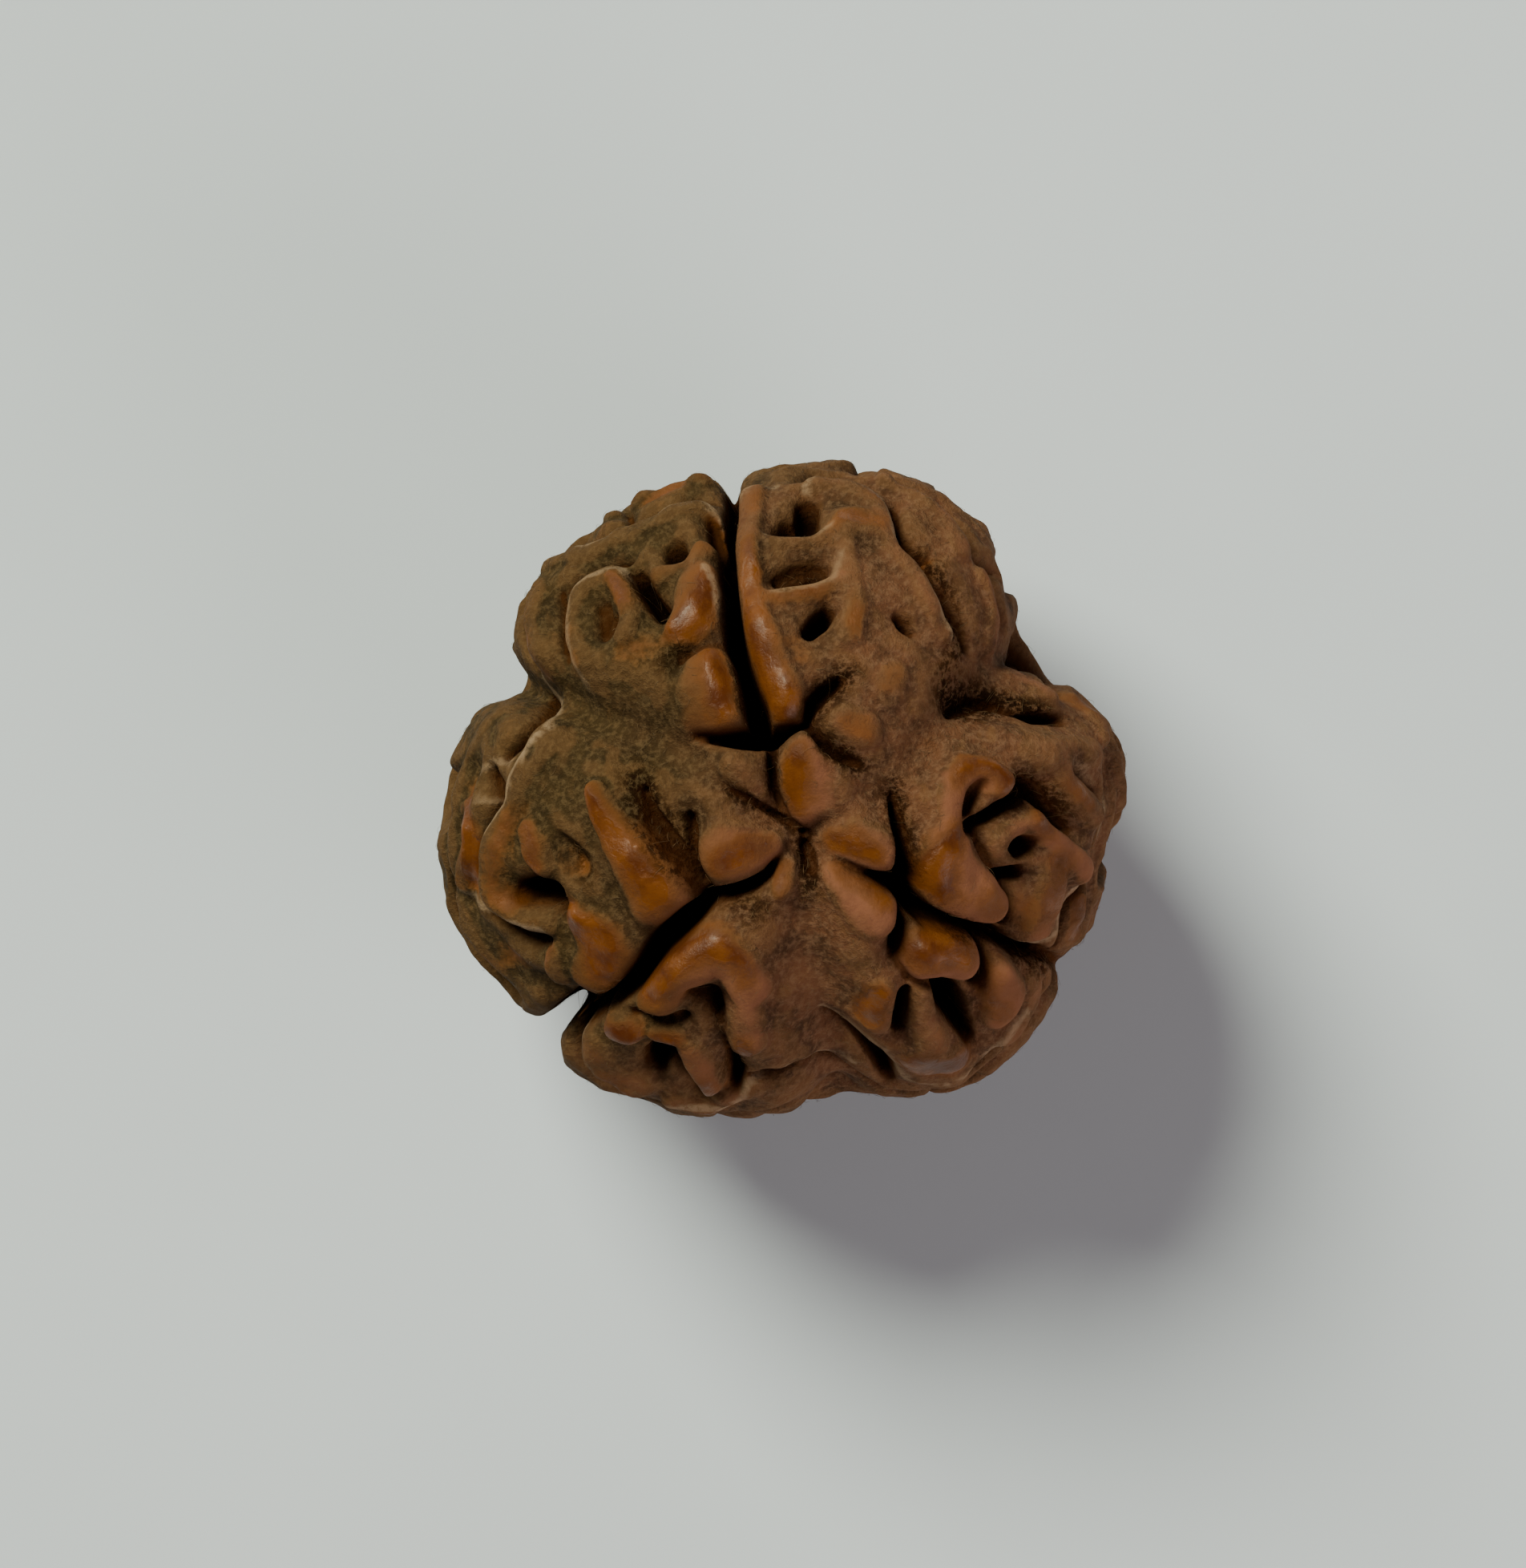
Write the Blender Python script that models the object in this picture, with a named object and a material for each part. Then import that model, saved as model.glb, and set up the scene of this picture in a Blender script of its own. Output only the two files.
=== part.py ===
"""A three-faced rudraksha bead: the stone of one fruit, grown and worn as a single piece.

Plan measures are millimetres, seen from above: +x right, +y up the page, from the middle of the outline.
The bead is a star-shaped solid: along every ray from its heart there is one skin point, so the whole
relief is a height above or below a plain skin, worked out at each point of an icosphere.
"""

import math

import bmesh
import bpy
import numpy as np
from mathutils import Vector

MM = 0.001

# Driving dimensions of the plain skin
HALF_HEIGHT = 9.6  # heart to top, and heart to the uncut base
SKIN_POWER = 2.3  # 2 is an ellipsoid, more is fuller
FOOT_CUT = 0.55  # how much of the base is worn flat
OUTLINE_SCALE = 1.02
OUTLINE_BLUR = 3.0  # degrees either way that round the outline off

# Outline of the plain skin: azimuth in degrees from +x, radius
OUTLINE = (
    (0, 10.5), (10, 10.3), (20, 9.3), (33, 8.6), (42, 9.3), (52, 10.1), (66, 10.5), (82, 10.3),
    (93, 10.05), (97, 9.8), (101, 9.8), (107, 10.15), (120, 10.0), (135, 10.1), (147, 10.0), (153, 9.3),
    (158, 8.5), (164, 9.7), (175, 10.3), (190, 10.75), (203, 10.95), (214, 10.5), (225, 10.3),
    (233, 10.75), (245, 10.4), (260, 10.1), (270, 9.7), (280, 9.2), (289, 9.8), (300, 10.65), (314, 10.6),
    (326, 10.2), (338, 10.1), (348, 10.2),
)

# Soft valleys: depth, then (x, y, half width) along the valley
VALLEYS = {
    "left saddle": (0.8, [(-8.4, 3.4, 1.2), (-6.6, 2.7, 1.8), (-4.6, 1.9, 2.0), (-3.2, 1.2, 1.8)]),
    "right saddle": (0.7, [(8.0, 4.6, 1.6), (6.2, 3.0, 2.4), (4.4, 1.2, 2.2), (3.2, 0.2, 1.6)]),
    "lower saddle": (0.7, [(1.6, -9.4, 1.6), (1.4, -7.6, 2.0), (0.9, -5.8, 2.2), (0.5, -4.2, 1.6)]),
    "mouth": (0.8, [(0.4, -1.2, 3.6)]),
    "soft left hollow": (0.55, [(-6.9, -1.6, 0.6), (-6.4, -2.2, 0.8)]),
    "outer left": (0.5, [(-9.9, 0.6, 1.0), (-10.2, -1.5, 1.0), (-10.0, -3.6, 1.2), (-8.6, -5.3, 1.2),
                         (-7.4, -6.0, 1.0)]),
    "outer right": (0.4, [(10.0, 2.0, 0.8), (10.3, 0.3, 0.8), (10.0, -1.6, 0.8), (9.5, -3.4, 0.8)]),
    "outer upper right": (0.5, [(3.8, 9.6, 0.9), (5.2, 8.6, 1.1), (6.1, 7.2, 1.1), (6.6, 5.8, 1.0)]),
    "outer lower left": (0.5, [(-6.9, -7.6, 0.8), (-5.6, -9.0, 0.8), (-4.0, -9.6, 0.8)]),
}

# Raised crests: height, then (x, y, half width) along the crest
CRESTS = {
    # upper left cheek
    "tooth over the crossing": (0.4, [(-2.45, 4.0, 0.85), (-2.35, 3.2, 1.15), (-2.35, 2.4, 1.3)]),
    "upper left tooth edge": (0.42, [(-2.6, 6.6, 0.75), (-2.7, 6.0, 0.95), (-2.8, 5.4, 0.95),
                                     (-3.1, 5.0, 0.7)]),
    "upper left tooth top": (0.35, [(-2.55, 7.45, 0.5), (-2.95, 7.1, 0.5), (-3.5, 6.8, 0.45),
                                    (-4.0, 6.6, 0.4)]),
    "ring right limb": (0.3, [(-5.2, 6.65, 0.4), (-4.95, 6.2, 0.45), (-4.8, 5.6, 0.5), (-4.9, 4.9, 0.5)]),
    "ring left limb": (0.18, [(-5.5, 6.85, 0.5), (-6.2, 6.4, 0.5), (-6.6, 5.7, 0.5), (-6.65, 4.9, 0.5),
                              (-6.35, 4.2, 0.5)]),
    "upper left rim": (0.22, [(-7.2, 7.0, 0.5), (-6.6, 7.3, 0.5), (-5.9, 7.45, 0.5), (-5.3, 7.8, 0.5),
                              (-4.6, 8.1, 0.5), (-3.9, 8.35, 0.5), (-3.2, 8.75, 0.5), (-2.6, 8.8, 0.5),
                              (-2.15, 8.5, 0.4)]),
    "upper left outer lobe": (0.3, [(-6.3, 8.1, 0.5), (-5.6, 8.6, 0.5), (-5.25, 8.7, 0.4)]),
    "upper left outer ridge": (0.35, [(-4.6, 9.0, 0.45), (-3.8, 9.4, 0.55), (-3.0, 9.7, 0.55),
                                      (-2.5, 9.6, 0.45)]),
    "upper left flank": (0.25, [(-7.6, 6.3, 0.6), (-7.8, 5.3, 0.6), (-7.6, 4.3, 0.6), (-7.3, 3.7, 0.5)]),
    # left cheek
    "left rim": (0.24, [(-7.1, 2.9, 0.6), (-7.1, 2.3, 0.7), (-7.5, 1.4, 0.8), (-8.0, 0.7, 0.7),
                        (-8.3, 0.0, 0.7), (-8.7, -0.8, 0.7), (-9.0, -1.6, 0.7), (-9.1, -2.4, 0.7),
                        (-9.0, -3.1, 0.7), (-8.4, -3.75, 0.5), (-7.8, -3.95, 0.45), (-7.3, -4.1, 0.4)]),
    "left knob": (0.35, [(-7.8, -1.1, 0.5), (-7.6, -1.7, 0.6), (-7.45, -2.2, 0.5)]),
    "long crest": (0.5, [(-5.7, 0.1, 0.4), (-5.45, -0.6, 0.6), (-4.9, -1.4, 0.9), (-4.3, -2.1, 1.15),
                         (-3.85, -2.75, 1.3), (-3.75, -3.2, 1.25)]),
    "left blob": (0.5, [(-6.3, -3.8, 0.6), (-5.7, -4.3, 1.05), (-5.35, -4.9, 1.3), (-5.6, -5.6, 1.25)]),
    "small left knob": (0.3, [(-7.1, -4.9, 0.5), (-6.9, -5.5, 0.6)]),
    "left back crest": (0.35, [(-10.1, -0.5, 0.5), (-10.0, -1.1, 0.55), (-10.1, -1.9, 0.55),
                               (-10.2, -2.8, 0.5)]),
    # teeth round the mouth
    "tooth left of the mouth": (0.45, [(-1.85, -1.85, 1.2), (-1.2, -1.8, 1.05), (-0.6, -1.75, 0.75)]),
    "tooth over the mouth": (0.42, [(0.5, 1.4, 0.65), (0.55, 0.7, 0.95), (0.65, 0.0, 1.1),
                                    (0.5, -0.5, 0.8)]),
    "flank of that tooth": (0.28, [(1.3, 0.7, 0.8), (1.3, 0.1, 0.9)]),
    "tooth right of the mouth": (0.42, [(1.6, -1.55, 0.6), (2.3, -1.55, 0.95), (2.75, -1.75, 0.95)]),
    "tooth under the right cleft": (0.42, [(1.5, -2.55, 0.55), (2.2, -3.05, 0.9), (2.7, -3.5, 1.1)]),
    "tooth under the mouth": (0.32, [(0.1, -2.3, 0.35), (-0.1, -2.9, 0.5)]),
    "dull tooth": (0.25, [(-1.6, 0.85, 0.6), (-1.15, 0.4, 0.6), (-0.85, 0.0, 0.4)]),
    # upper right cheek
    "upper cleft edge": (0.36, [(-1.1, 9.2, 0.6), (-1.15, 8.3, 0.55), (-1.2, 7.2, 0.55),
                                (-1.1, 6.3, 0.55), (-0.95, 5.4, 0.6), (-0.65, 4.5, 0.7),
                                (-0.35, 3.6, 0.85), (-0.1, 2.8, 0.9)]),
    "upper bar": (0.2, [(-0.8, 7.75, 0.4), (0.1, 7.7, 0.35), (1.0, 7.8, 0.35), (1.5, 8.1, 0.45)]),
    "lower bar": (0.28, [(-0.7, 6.0, 0.4), (0.2, 6.1, 0.35), (1.0, 6.25, 0.35), (1.55, 6.6, 0.35)]),
    "upright bar": (0.22, [(1.7, 8.0, 0.5), (1.75, 7.2, 0.5), (1.9, 6.5, 0.5), (2.1, 5.7, 0.5),
                           (2.0, 4.9, 0.5)]),
    "upper plateau": (0.24, [(2.0, 8.3, 0.9), (2.6, 8.3, 0.9)]),
    "upper right rim": (0.26, [(0.9, 9.5, 0.4), (1.5, 9.5, 0.45), (2.1, 9.25, 0.5), (2.8, 8.85, 0.5),
                               (3.0, 8.3, 0.5), (3.2, 7.6, 0.5), (3.8, 6.95, 0.5), (4.1, 6.4, 0.5),
                               (4.4, 5.8, 0.5), (4.8, 5.0, 0.5)]),
    "upper right back": (0.3, [(3.2, 9.7, 0.5), (4.2, 9.2, 0.6), (4.9, 8.4, 0.6), (5.3, 7.6, 0.6)]),
    "right of the side pits": (0.3, [(6.1, 6.6, 0.5), (6.4, 5.6, 0.5), (6.4, 4.7, 0.5)]),
    "knob by the crossing": (0.3, [(1.75, 2.2, 0.6), (2.45, 2.0, 0.7)]),
    "inner knob": (0.2, [(3.3, 3.6, 0.6), (3.1, 3.0, 0.6)]),
    # right cheek
    "hook knob": (0.46, [(6.3, 0.5, 0.66), (6.6, 0.32, 0.56)]),
    "hook": (0.44, [(6.2, 0.7, 0.55), (5.6, 0.75, 0.6), (5.2, 0.4, 0.6), (5.05, -0.2, 0.58),
                    (5.0, -0.9, 0.55)]),
    "hook foot": (0.52, [(4.9, -1.5, 0.95), (4.8, -2.3, 1.2), (5.2, -2.8, 1.2), (5.9, -3.2, 1.1),
                         (6.2, -3.4, 0.95)]),
    "lattice tip": (0.42, [(7.62, -0.8, 0.42), (7.9, -1.25, 0.5), (8.5, -1.65, 0.55), (9.0, -2.3, 0.6)]),
    "lattice left edge": (0.32, [(7.4, -0.9, 0.42), (6.8, -1.2, 0.42), (6.45, -1.7, 0.4)]),
    "lattice bridge": (0.24, [(6.5, -1.95, 0.3), (7.3, -2.05, 0.3), (8.0, -2.1, 0.4)]),
    "lattice foot": (0.34, [(8.1, -2.7, 0.8), (8.0, -3.4, 0.88), (7.75, -4.05, 0.8)]),
    "dusty crest": (0.24, [(6.8, 1.8, 0.6), (7.4, 1.6, 0.75), (8.0, 1.3, 0.8), (8.8, 1.2, 0.7),
                           (9.5, 1.3, 0.6)]),
    "right crest": (0.3, [(8.6, 0.5, 0.6), (9.1, 0.0, 0.7), (9.5, -0.6, 0.6)]),
    "upper right crest": (0.3, [(9.0, 2.9, 0.6), (9.5, 2.4, 0.6), (9.8, 1.8, 0.5)]),
    "saddle knob": (0.32, [(7.5, 3.7, 0.7), (8.0, 3.2, 0.6)]),
    # lower right cheek
    "bean": (0.58, [(4.15, -4.95, 0.98), (4.8, -4.8, 0.88), (5.35, -4.98, 0.95)]),
    "left bar of the pits": (0.3, [(2.9, -6.0, 0.55), (2.8, -7.0, 0.65)]),
    "middle bar of the pits": (0.26, [(4.3, -6.1, 0.4), (4.3, -6.9, 0.5), (4.5, -7.7, 0.7)]),
    "lower right patch": (0.32, [(4.2, -8.25, 0.9), (5.1, -8.2, 0.9)]),
    "right bar of the pits": (0.46, [(6.45, -5.65, 0.82), (6.7, -6.1, 0.9), (6.5, -6.7, 0.7)]),
    "lower right rim": (0.26, [(7.6, -5.7, 0.6), (7.5, -6.5, 0.6), (6.9, -7.4, 0.6)]),
    # lower left cheek
    "arch": (0.5, [(-3.95, -6.15, 0.95), (-3.4, -5.5, 1.0), (-2.75, -5.0, 1.0), (-2.1, -4.8, 1.0),
                   (-1.5, -5.1, 0.9), (-1.1, -5.8, 0.9)]),
    "arch knob": (0.36, [(-1.15, -6.7, 0.75), (-1.2, -7.45, 0.78)]),
    "tongue": (0.42, [(-2.9, -7.8, 0.55), (-2.6, -8.3, 0.6), (-2.25, -8.9, 0.45)]),
    "red knob": (0.46, [(-5.2, -7.15, 0.6), (-4.75, -7.25, 0.6)]),
    "red bar": (0.36, [(-3.9, -7.35, 0.42), (-3.3, -7.35, 0.42)]),
    "lower left cheek": (0.3, [(-5.9, -7.8, 0.8), (-5.4, -8.5, 0.8), (-4.6, -8.9, 0.7)]),
    "lowest ridge": (0.3, [(-3.4, -9.4, 0.5), (-2.4, -9.6, 0.5), (-1.4, -9.3, 0.5)]),
}

# Cuts: depth, radius of the rounded lip, then (x, y, half width) along the cut
CUTS = {
    # the three clefts that part the faces, and the cracks that meet at the mouth
    "upper cleft": (2.8, 0.28, [(-1.68, 9.3, 0.26), (-1.75, 8.6, 0.24), (-1.84, 7.8, 0.22),
                                (-1.84, 7.1, 0.28), (-1.74, 6.2, 0.26), (-1.68, 5.4, 0.32),
                                (-1.62, 4.8, 0.36), (-1.36, 4.1, 0.28), (-1.12, 3.3, 0.32),
                                (-0.95, 2.7, 0.4), (-0.85, 2.2, 0.42)]),
    "upper cleft exit": (1.0, 0.3, [(-1.68, 9.3, 0.26), (-1.72, 10.0, 0.3), (-1.85, 11.5, 0.3)]),
    "crossing": (2.2, 0.25, [(-2.9, 1.85, 0.1), (-2.2, 1.75, 0.2), (-1.5, 1.75, 0.34), (-0.9, 1.8, 0.42),
                             (-0.35, 1.8, 0.3), (0.1, 2.0, 0.16), (0.55, 2.25, 0.14)]),
    "middle channel": (0.8, 0.2, [(-0.45, 1.4, 0.2), (-0.45, 0.9, 0.16), (-0.42, 0.3, 0.15),
                                  (-0.2, -0.3, 0.14), (0.1, -0.85, 0.12), (0.4, -1.1, 0.12)]),
    "left mouth crack": (1.0, 0.16, [(0.35, -1.1, 0.12), (-0.15, -0.85, 0.15), (-0.6, -0.55, 0.15),
                                     (-1.1, -0.25, 0.12), (-1.7, 0.1, 0.1), (-2.2, 0.4, 0.06)]),
    "lower mouth crack": (0.2, 0.3, [(0.66, -1.7, 0.18), (0.76, -2.1, 0.24), (0.84, -2.5, 0.2)]),
    "mouth hole": (1.5, 0.15, [(0.45, -1.15, 0.1), (0.6, -1.3, 0.16)]),
    "left cleft": (2.6, 0.28, [(-0.35, -2.2, 0.1), (-0.58, -2.62, 0.18), (-1.1, -2.95, 0.24),
                               (-1.8, -3.15, 0.26), (-2.4, -3.35, 0.3), (-2.9, -3.75, 0.38),
                               (-3.45, -4.25, 0.42), (-3.95, -4.75, 0.4), (-4.35, -5.35, 0.34),
                               (-4.8, -5.95, 0.32), (-5.4, -6.4, 0.28), (-6.2, -6.4, 0.28)]),
    "root of the left cleft": (1.3, 0.12, [(0.5, -1.25, 0.08), (0.1, -1.7, 0.09), (-0.4, -2.25, 0.1)]),
    "left cleft exit": (1.5, 0.25, [(-5.8, -6.4, 0.28), (-6.4, -6.45, 0.34), (-7.1, -7.05, 0.4),
                                    (-8.2, -8.2, 0.44)]),
    "right cleft": (2.6, 0.28, [(2.1, -2.34, 0.08), (2.7, -2.58, 0.16), (3.3, -2.8, 0.3),
                                (3.7, -2.95, 0.38), (3.95, -3.45, 0.4), (4.4, -3.85, 0.34),
                                (5.0, -4.0, 0.26), (5.7, -4.18, 0.24), (6.3, -4.32, 0.3),
                                (6.8, -4.55, 0.24), (7.3, -4.95, 0.2), (8.1, -5.05, 0.2)]),
    "root of the right cleft": (1.3, 0.12, [(0.65, -1.25, 0.08), (1.4, -1.98, 0.09), (2.2, -2.38, 0.12)]),
    "right cleft exit": (0.7, 0.25, [(8.0, -5.0, 0.2), (8.8, -5.4, 0.22), (10.2, -6.25, 0.22)]),
    "right cleft riser": (1.9, 0.3, [(3.75, -2.6, 0.34), (3.68, -1.9, 0.28), (3.66, -1.3, 0.26),
                                     (3.62, -0.7, 0.2), (3.6, -0.1, 0.1)]),
    "right cleft faller": (1.4, 0.3, [(3.8, -3.2, 0.3), (3.62, -3.9, 0.24), (3.42, -4.6, 0.18),
                                      (3.38, -5.1, 0.1)]),
    "under the bean": (0.3, 0.2, [(3.42, -5.2, 0.1), (3.8, -5.75, 0.12), (4.5, -5.9, 0.14),
                                  (5.2, -5.98, 0.14)]),
    # upper left cheek
    "upper left pit": (1.9, 0.28, [(-3.5, 7.75, 0.34), (-3.4, 7.3, 0.38)]),
    "pocket by the cleft": (0.5, 0.35, [(-2.3, 8.5, 0.2), (-2.2, 8.1, 0.26), (-2.0, 7.8, 0.2)]),
    "slot by the ring": (1.7, 0.3, [(-4.65, 6.85, 0.26), (-4.4, 6.4, 0.26), (-4.15, 6.0, 0.28),
                                    (-3.85, 5.65, 0.3)]),
    "ring floor": (0.1, 0.3, [(-5.75, 5.85, 0.25), (-5.65, 5.1, 0.28)]),
    "ring pit": (0.8, 0.18, [(-5.36, 5.6, 0.1), (-5.28, 5.3, 0.16), (-5.34, 5.1, 0.12)]),
    "tooth gap": (0.1, 0.2, [(-1.95, 4.6, 0.12), (-2.5, 4.55, 0.1), (-3.2, 4.25, 0.2)]),
    "fold outside the upper left rim": (1.0, 0.3, [(-7.1, 7.4, 0.12), (-6.7, 7.75, 0.14),
                                                   (-5.9, 7.95, 0.16), (-5.2, 8.35, 0.16),
                                                   (-4.4, 8.65, 0.16), (-3.6, 9.0, 0.14),
                                                   (-3.0, 9.3, 0.12), (-2.3, 9.2, 0.12)]),
    "notch between the outer lobes": (0.6, 0.25, [(-4.9, 8.6, 0.1), (-5.1, 9.2, 0.14),
                                                  (-5.4, 10.5, 0.14)]),
    "fold over the ring": (0.5, 0.35, [(-6.8, 6.5, 0.1), (-6.0, 7.0, 0.12), (-5.4, 7.25, 0.12),
                                       (-4.9, 7.3, 0.1)]),
    "fold left of the ring": (0.45, 0.35, [(-7.1, 6.3, 0.1), (-7.1, 5.2, 0.12), (-6.9, 4.3, 0.1)]),
    "outer fold of the upper left": (0.7, 0.3, [(-8.0, 6.6, 0.1), (-8.25, 5.6, 0.14), (-8.2, 4.8, 0.14),
                                                (-7.95, 4.1, 0.14)]),
    # left cheek
    "fold behind the left rim": (0.5, 0.25, [(-7.95, 3.2, 0.2), (-7.85, 2.4, 0.22), (-8.2, 1.8, 0.22),
                                             (-8.75, 1.2, 0.2)]),
    "left side pit": (1.9, 0.3, [(-9.25, 0.6, 0.24), (-9.1, 0.15, 0.34), (-8.95, -0.1, 0.3),
                                 (-9.2, -0.6, 0.14)]),
    "left side slot": (0.5, 0.25, [(-9.2, -0.6, 0.12), (-9.5, -1.4, 0.18), (-9.7, -2.2, 0.18),
                                   (-9.75, -3.0, 0.18), (-9.35, -3.7, 0.2)]),
    "left hole": (2.4, 0.3, [(-8.3, -3.15, 0.4), (-7.7, -3.1, 0.52), (-7.25, -3.2, 0.42),
                             (-6.95, -3.6, 0.28)]),
    "left slit": (1.9, 0.3, [(-9.3, -3.9, 0.2), (-8.5, -4.35, 0.28), (-7.9, -4.55, 0.28),
                             (-7.4, -4.6, 0.16)]),
    "groove by the long crest": (0.3, 0.35, [(-4.5, 0.1, 0.14), (-4.2, -0.8, 0.28), (-3.7, -1.45, 0.28),
                                             (-3.2, -2.0, 0.24), (-2.8, -2.6, 0.24), (-2.6, -3.1, 0.28)]),
    "groove left of the mouth tooth": (0.3, 0.25, [(-3.05, -0.7, 0.14), (-2.95, -1.4, 0.18),
                                                   (-2.85, -2.1, 0.18), (-2.6, -2.7, 0.2)]),
    # upper right cheek
    "first window": (0.8, 0.3, [(-0.15, 8.25, 0.26), (0.2, 8.55, 0.38), (0.62, 8.4, 0.42),
                                (0.72, 9.1, 0.38)]),
    "second window": (0.4, 0.3, [(-0.15, 6.75, 0.3), (0.4, 6.92, 0.4), (0.95, 7.02, 0.38)]),
    "pit in the second window": (0.9, 0.2, [(0.65, 6.85, 0.14), (1.05, 6.95, 0.18)]),
    "third window": (2.4, 0.22, [(0.72, 5.1, 0.26), (1.03, 5.4, 0.34), (1.3, 5.7, 0.26)]),
    "groove round the tip": (0.55, 0.3, [(0.65, 2.3, 0.16), (0.85, 2.85, 0.26), (1.2, 3.2, 0.26),
                                         (1.7, 3.55, 0.16)]),
    "groove under the knob": (0.7, 0.28, [(0.7, 2.15, 0.12), (1.05, 1.75, 0.18), (1.4, 1.4, 0.22),
                                          (1.8, 1.15, 0.18), (2.3, 0.95, 0.1)]),
    "small pit": (0.7, 0.2, [(3.5, 5.5, 0.18), (3.7, 5.3, 0.26), (3.9, 5.1, 0.18)]),
    "side pit": (0.7, 0.3, [(3.75, 7.95, 0.26), (4.0, 7.7, 0.3), (4.4, 7.5, 0.2)]),
    "lower side pit": (1.2, 0.35, [(4.95, 6.4, 0.24), (5.2, 5.85, 0.34), (5.5, 5.3, 0.3),
                                   (5.7, 4.8, 0.2)]),
    "fold outside the upper right rim": (0.9, 0.3, [(3.45, 9.0, 0.12), (3.5, 8.4, 0.16), (3.9, 7.6, 0.16),
                                                    (4.45, 7.05, 0.14), (4.75, 6.5, 0.14)]),
    "fold over the upper right rim": (0.8, 0.3, [(0.5, 9.75, 0.1), (0.9, 10.0, 0.12), (1.6, 10.0, 0.12),
                                                 (2.3, 9.8, 0.12), (3.2, 9.4, 0.12)]),
    "outer fold of the upper right": (0.8, 0.3, [(5.0, 9.1, 0.1), (5.45, 8.5, 0.14), (5.8, 7.9, 0.16),
                                                 (6.2, 7.4, 0.16), (6.6, 7.0, 0.12)]),
    # right cheek
    "hook hollow": (0.2, 0.25, [(6.0, 0.3, 0.18), (5.85, -0.1, 0.24), (5.65, -0.5, 0.2)]),
    "groove under the hook": (0.9, 0.28, [(7.3, 0.05, 0.28), (6.9, -0.35, 0.26), (6.4, -0.7, 0.26),
                                          (5.9, -0.98, 0.22), (5.6, -1.1, 0.14)]),
    "hairy groove": (0.9, 0.3, [(7.5, 0.3, 0.34), (7.9, 0.05, 0.38), (8.3, -0.42, 0.32),
                                (8.7, -0.9, 0.26), (9.0, -1.2, 0.16)]),
    "upper lattice hole": (1.9, 0.18, [(7.2, -1.68, 0.32), (7.55, -1.58, 0.3)]),
    "lower lattice hole": (1.9, 0.18, [(7.25, -2.45, 0.28), (6.8, -2.62, 0.32)]),
    "groove behind the hook": (0.5, 0.2, [(5.95, -1.2, 0.14), (6.15, -1.75, 0.12), (6.35, -2.2, 0.12),
                                          (6.7, -2.7, 0.14)]),
    "groove under the lattice": (0.8, 0.25, [(6.9, -2.9, 0.16), (7.02, -3.4, 0.18), (6.9, -3.95, 0.22)]),
    "saddle groove": (0.15, 0.35, [(5.5, 2.7, 0.12), (6.0, 2.9, 0.22), (6.5, 3.05, 0.26),
                                   (7.0, 2.95, 0.2), (7.6, 2.6, 0.14)]),
    "right upper pit": (0.7, 0.3, [(7.8, 2.45, 0.2), (8.3, 2.4, 0.28), (8.8, 2.3, 0.2)]),
    "right slit": (0.8, 0.25, [(9.0, 0.75, 0.1), (9.4, 0.45, 0.16), (9.8, 0.15, 0.12)]),
    "lower right gap": (1.4, 0.3, [(9.4, -2.9, 0.18), (8.95, -3.5, 0.2), (8.7, -4.2, 0.2),
                                   (8.5, -4.8, 0.18)]),
    "right outer fold": (0.7, 0.3, [(10.0, 1.6, 0.1), (10.15, 0.6, 0.14), (10.1, -0.2, 0.14),
                                    (9.9, -1.0, 0.14), (9.7, -1.8, 0.14), (9.5, -2.6, 0.12)]),
    "fold by the saddle knob": (0.9, 0.3, [(7.3, 4.4, 0.12), (8.0, 4.15, 0.16), (8.4, 3.6, 0.16),
                                           (8.6, 3.1, 0.14)]),
    # lower right cheek
    "slit under the saddle": (1.2, 0.15, [(1.2, -7.3, 0.08), (2.0, -7.72, 0.18), (2.7, -8.15, 0.36),
                                          (3.1, -8.6, 0.4), (3.3, -9.1, 0.24)]),
    "left pit": (2.0, 0.22, [(3.75, -6.2, 0.2), (3.65, -6.8, 0.28), (3.5, -7.35, 0.2)]),
    "right pit": (2.3, 0.25, [(4.95, -6.05, 0.38), (5.2, -6.55, 0.48), (5.5, -7.15, 0.34),
                              (5.85, -7.8, 0.2)]),
    "gap right of the bean": (1.3, 0.3, [(6.12, -4.6, 0.2), (6.18, -5.2, 0.14), (5.85, -5.8, 0.18)]),
    "lower right fold": (0.8, 0.3, [(8.1, -5.9, 0.1), (7.9, -6.7, 0.14), (7.3, -7.6, 0.14),
                                    (6.5, -8.1, 0.12), (6.0, -8.6, 0.12)]),
    # lower left cheek
    "arch hollow": (0.3, 0.34, [(-2.85, -6.15, 0.22), (-2.4, -6.3, 0.32), (-2.2, -6.7, 0.24),
                                (-2.1, -7.1, 0.1)]),
    "gap under the arch foot": (0.6, 0.18, [(-4.7, -6.8, 0.14), (-3.9, -6.95, 0.1), (-3.1, -6.9, 0.12)]),
    "lower left pit": (2.0, 0.25, [(-3.75, -7.95, 0.4), (-4.1, -8.3, 0.45), (-4.2, -8.6, 0.36)]),
    "pit by the tongue": (1.2, 0.25, [(-1.72, -8.35, 0.2), (-1.58, -8.75, 0.3), (-1.6, -9.15, 0.2)]),
    "channel by the tongue": (0.35, 0.14, [(-2.02, -7.2, 0.08), (-1.95, -7.7, 0.1), (-1.82, -8.2, 0.12)]),
    "shade under the tongue": (1.1, 0.3, [(-3.45, -8.4, 0.18), (-3.05, -8.95, 0.18),
                                          (-2.65, -9.4, 0.14)]),
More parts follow.
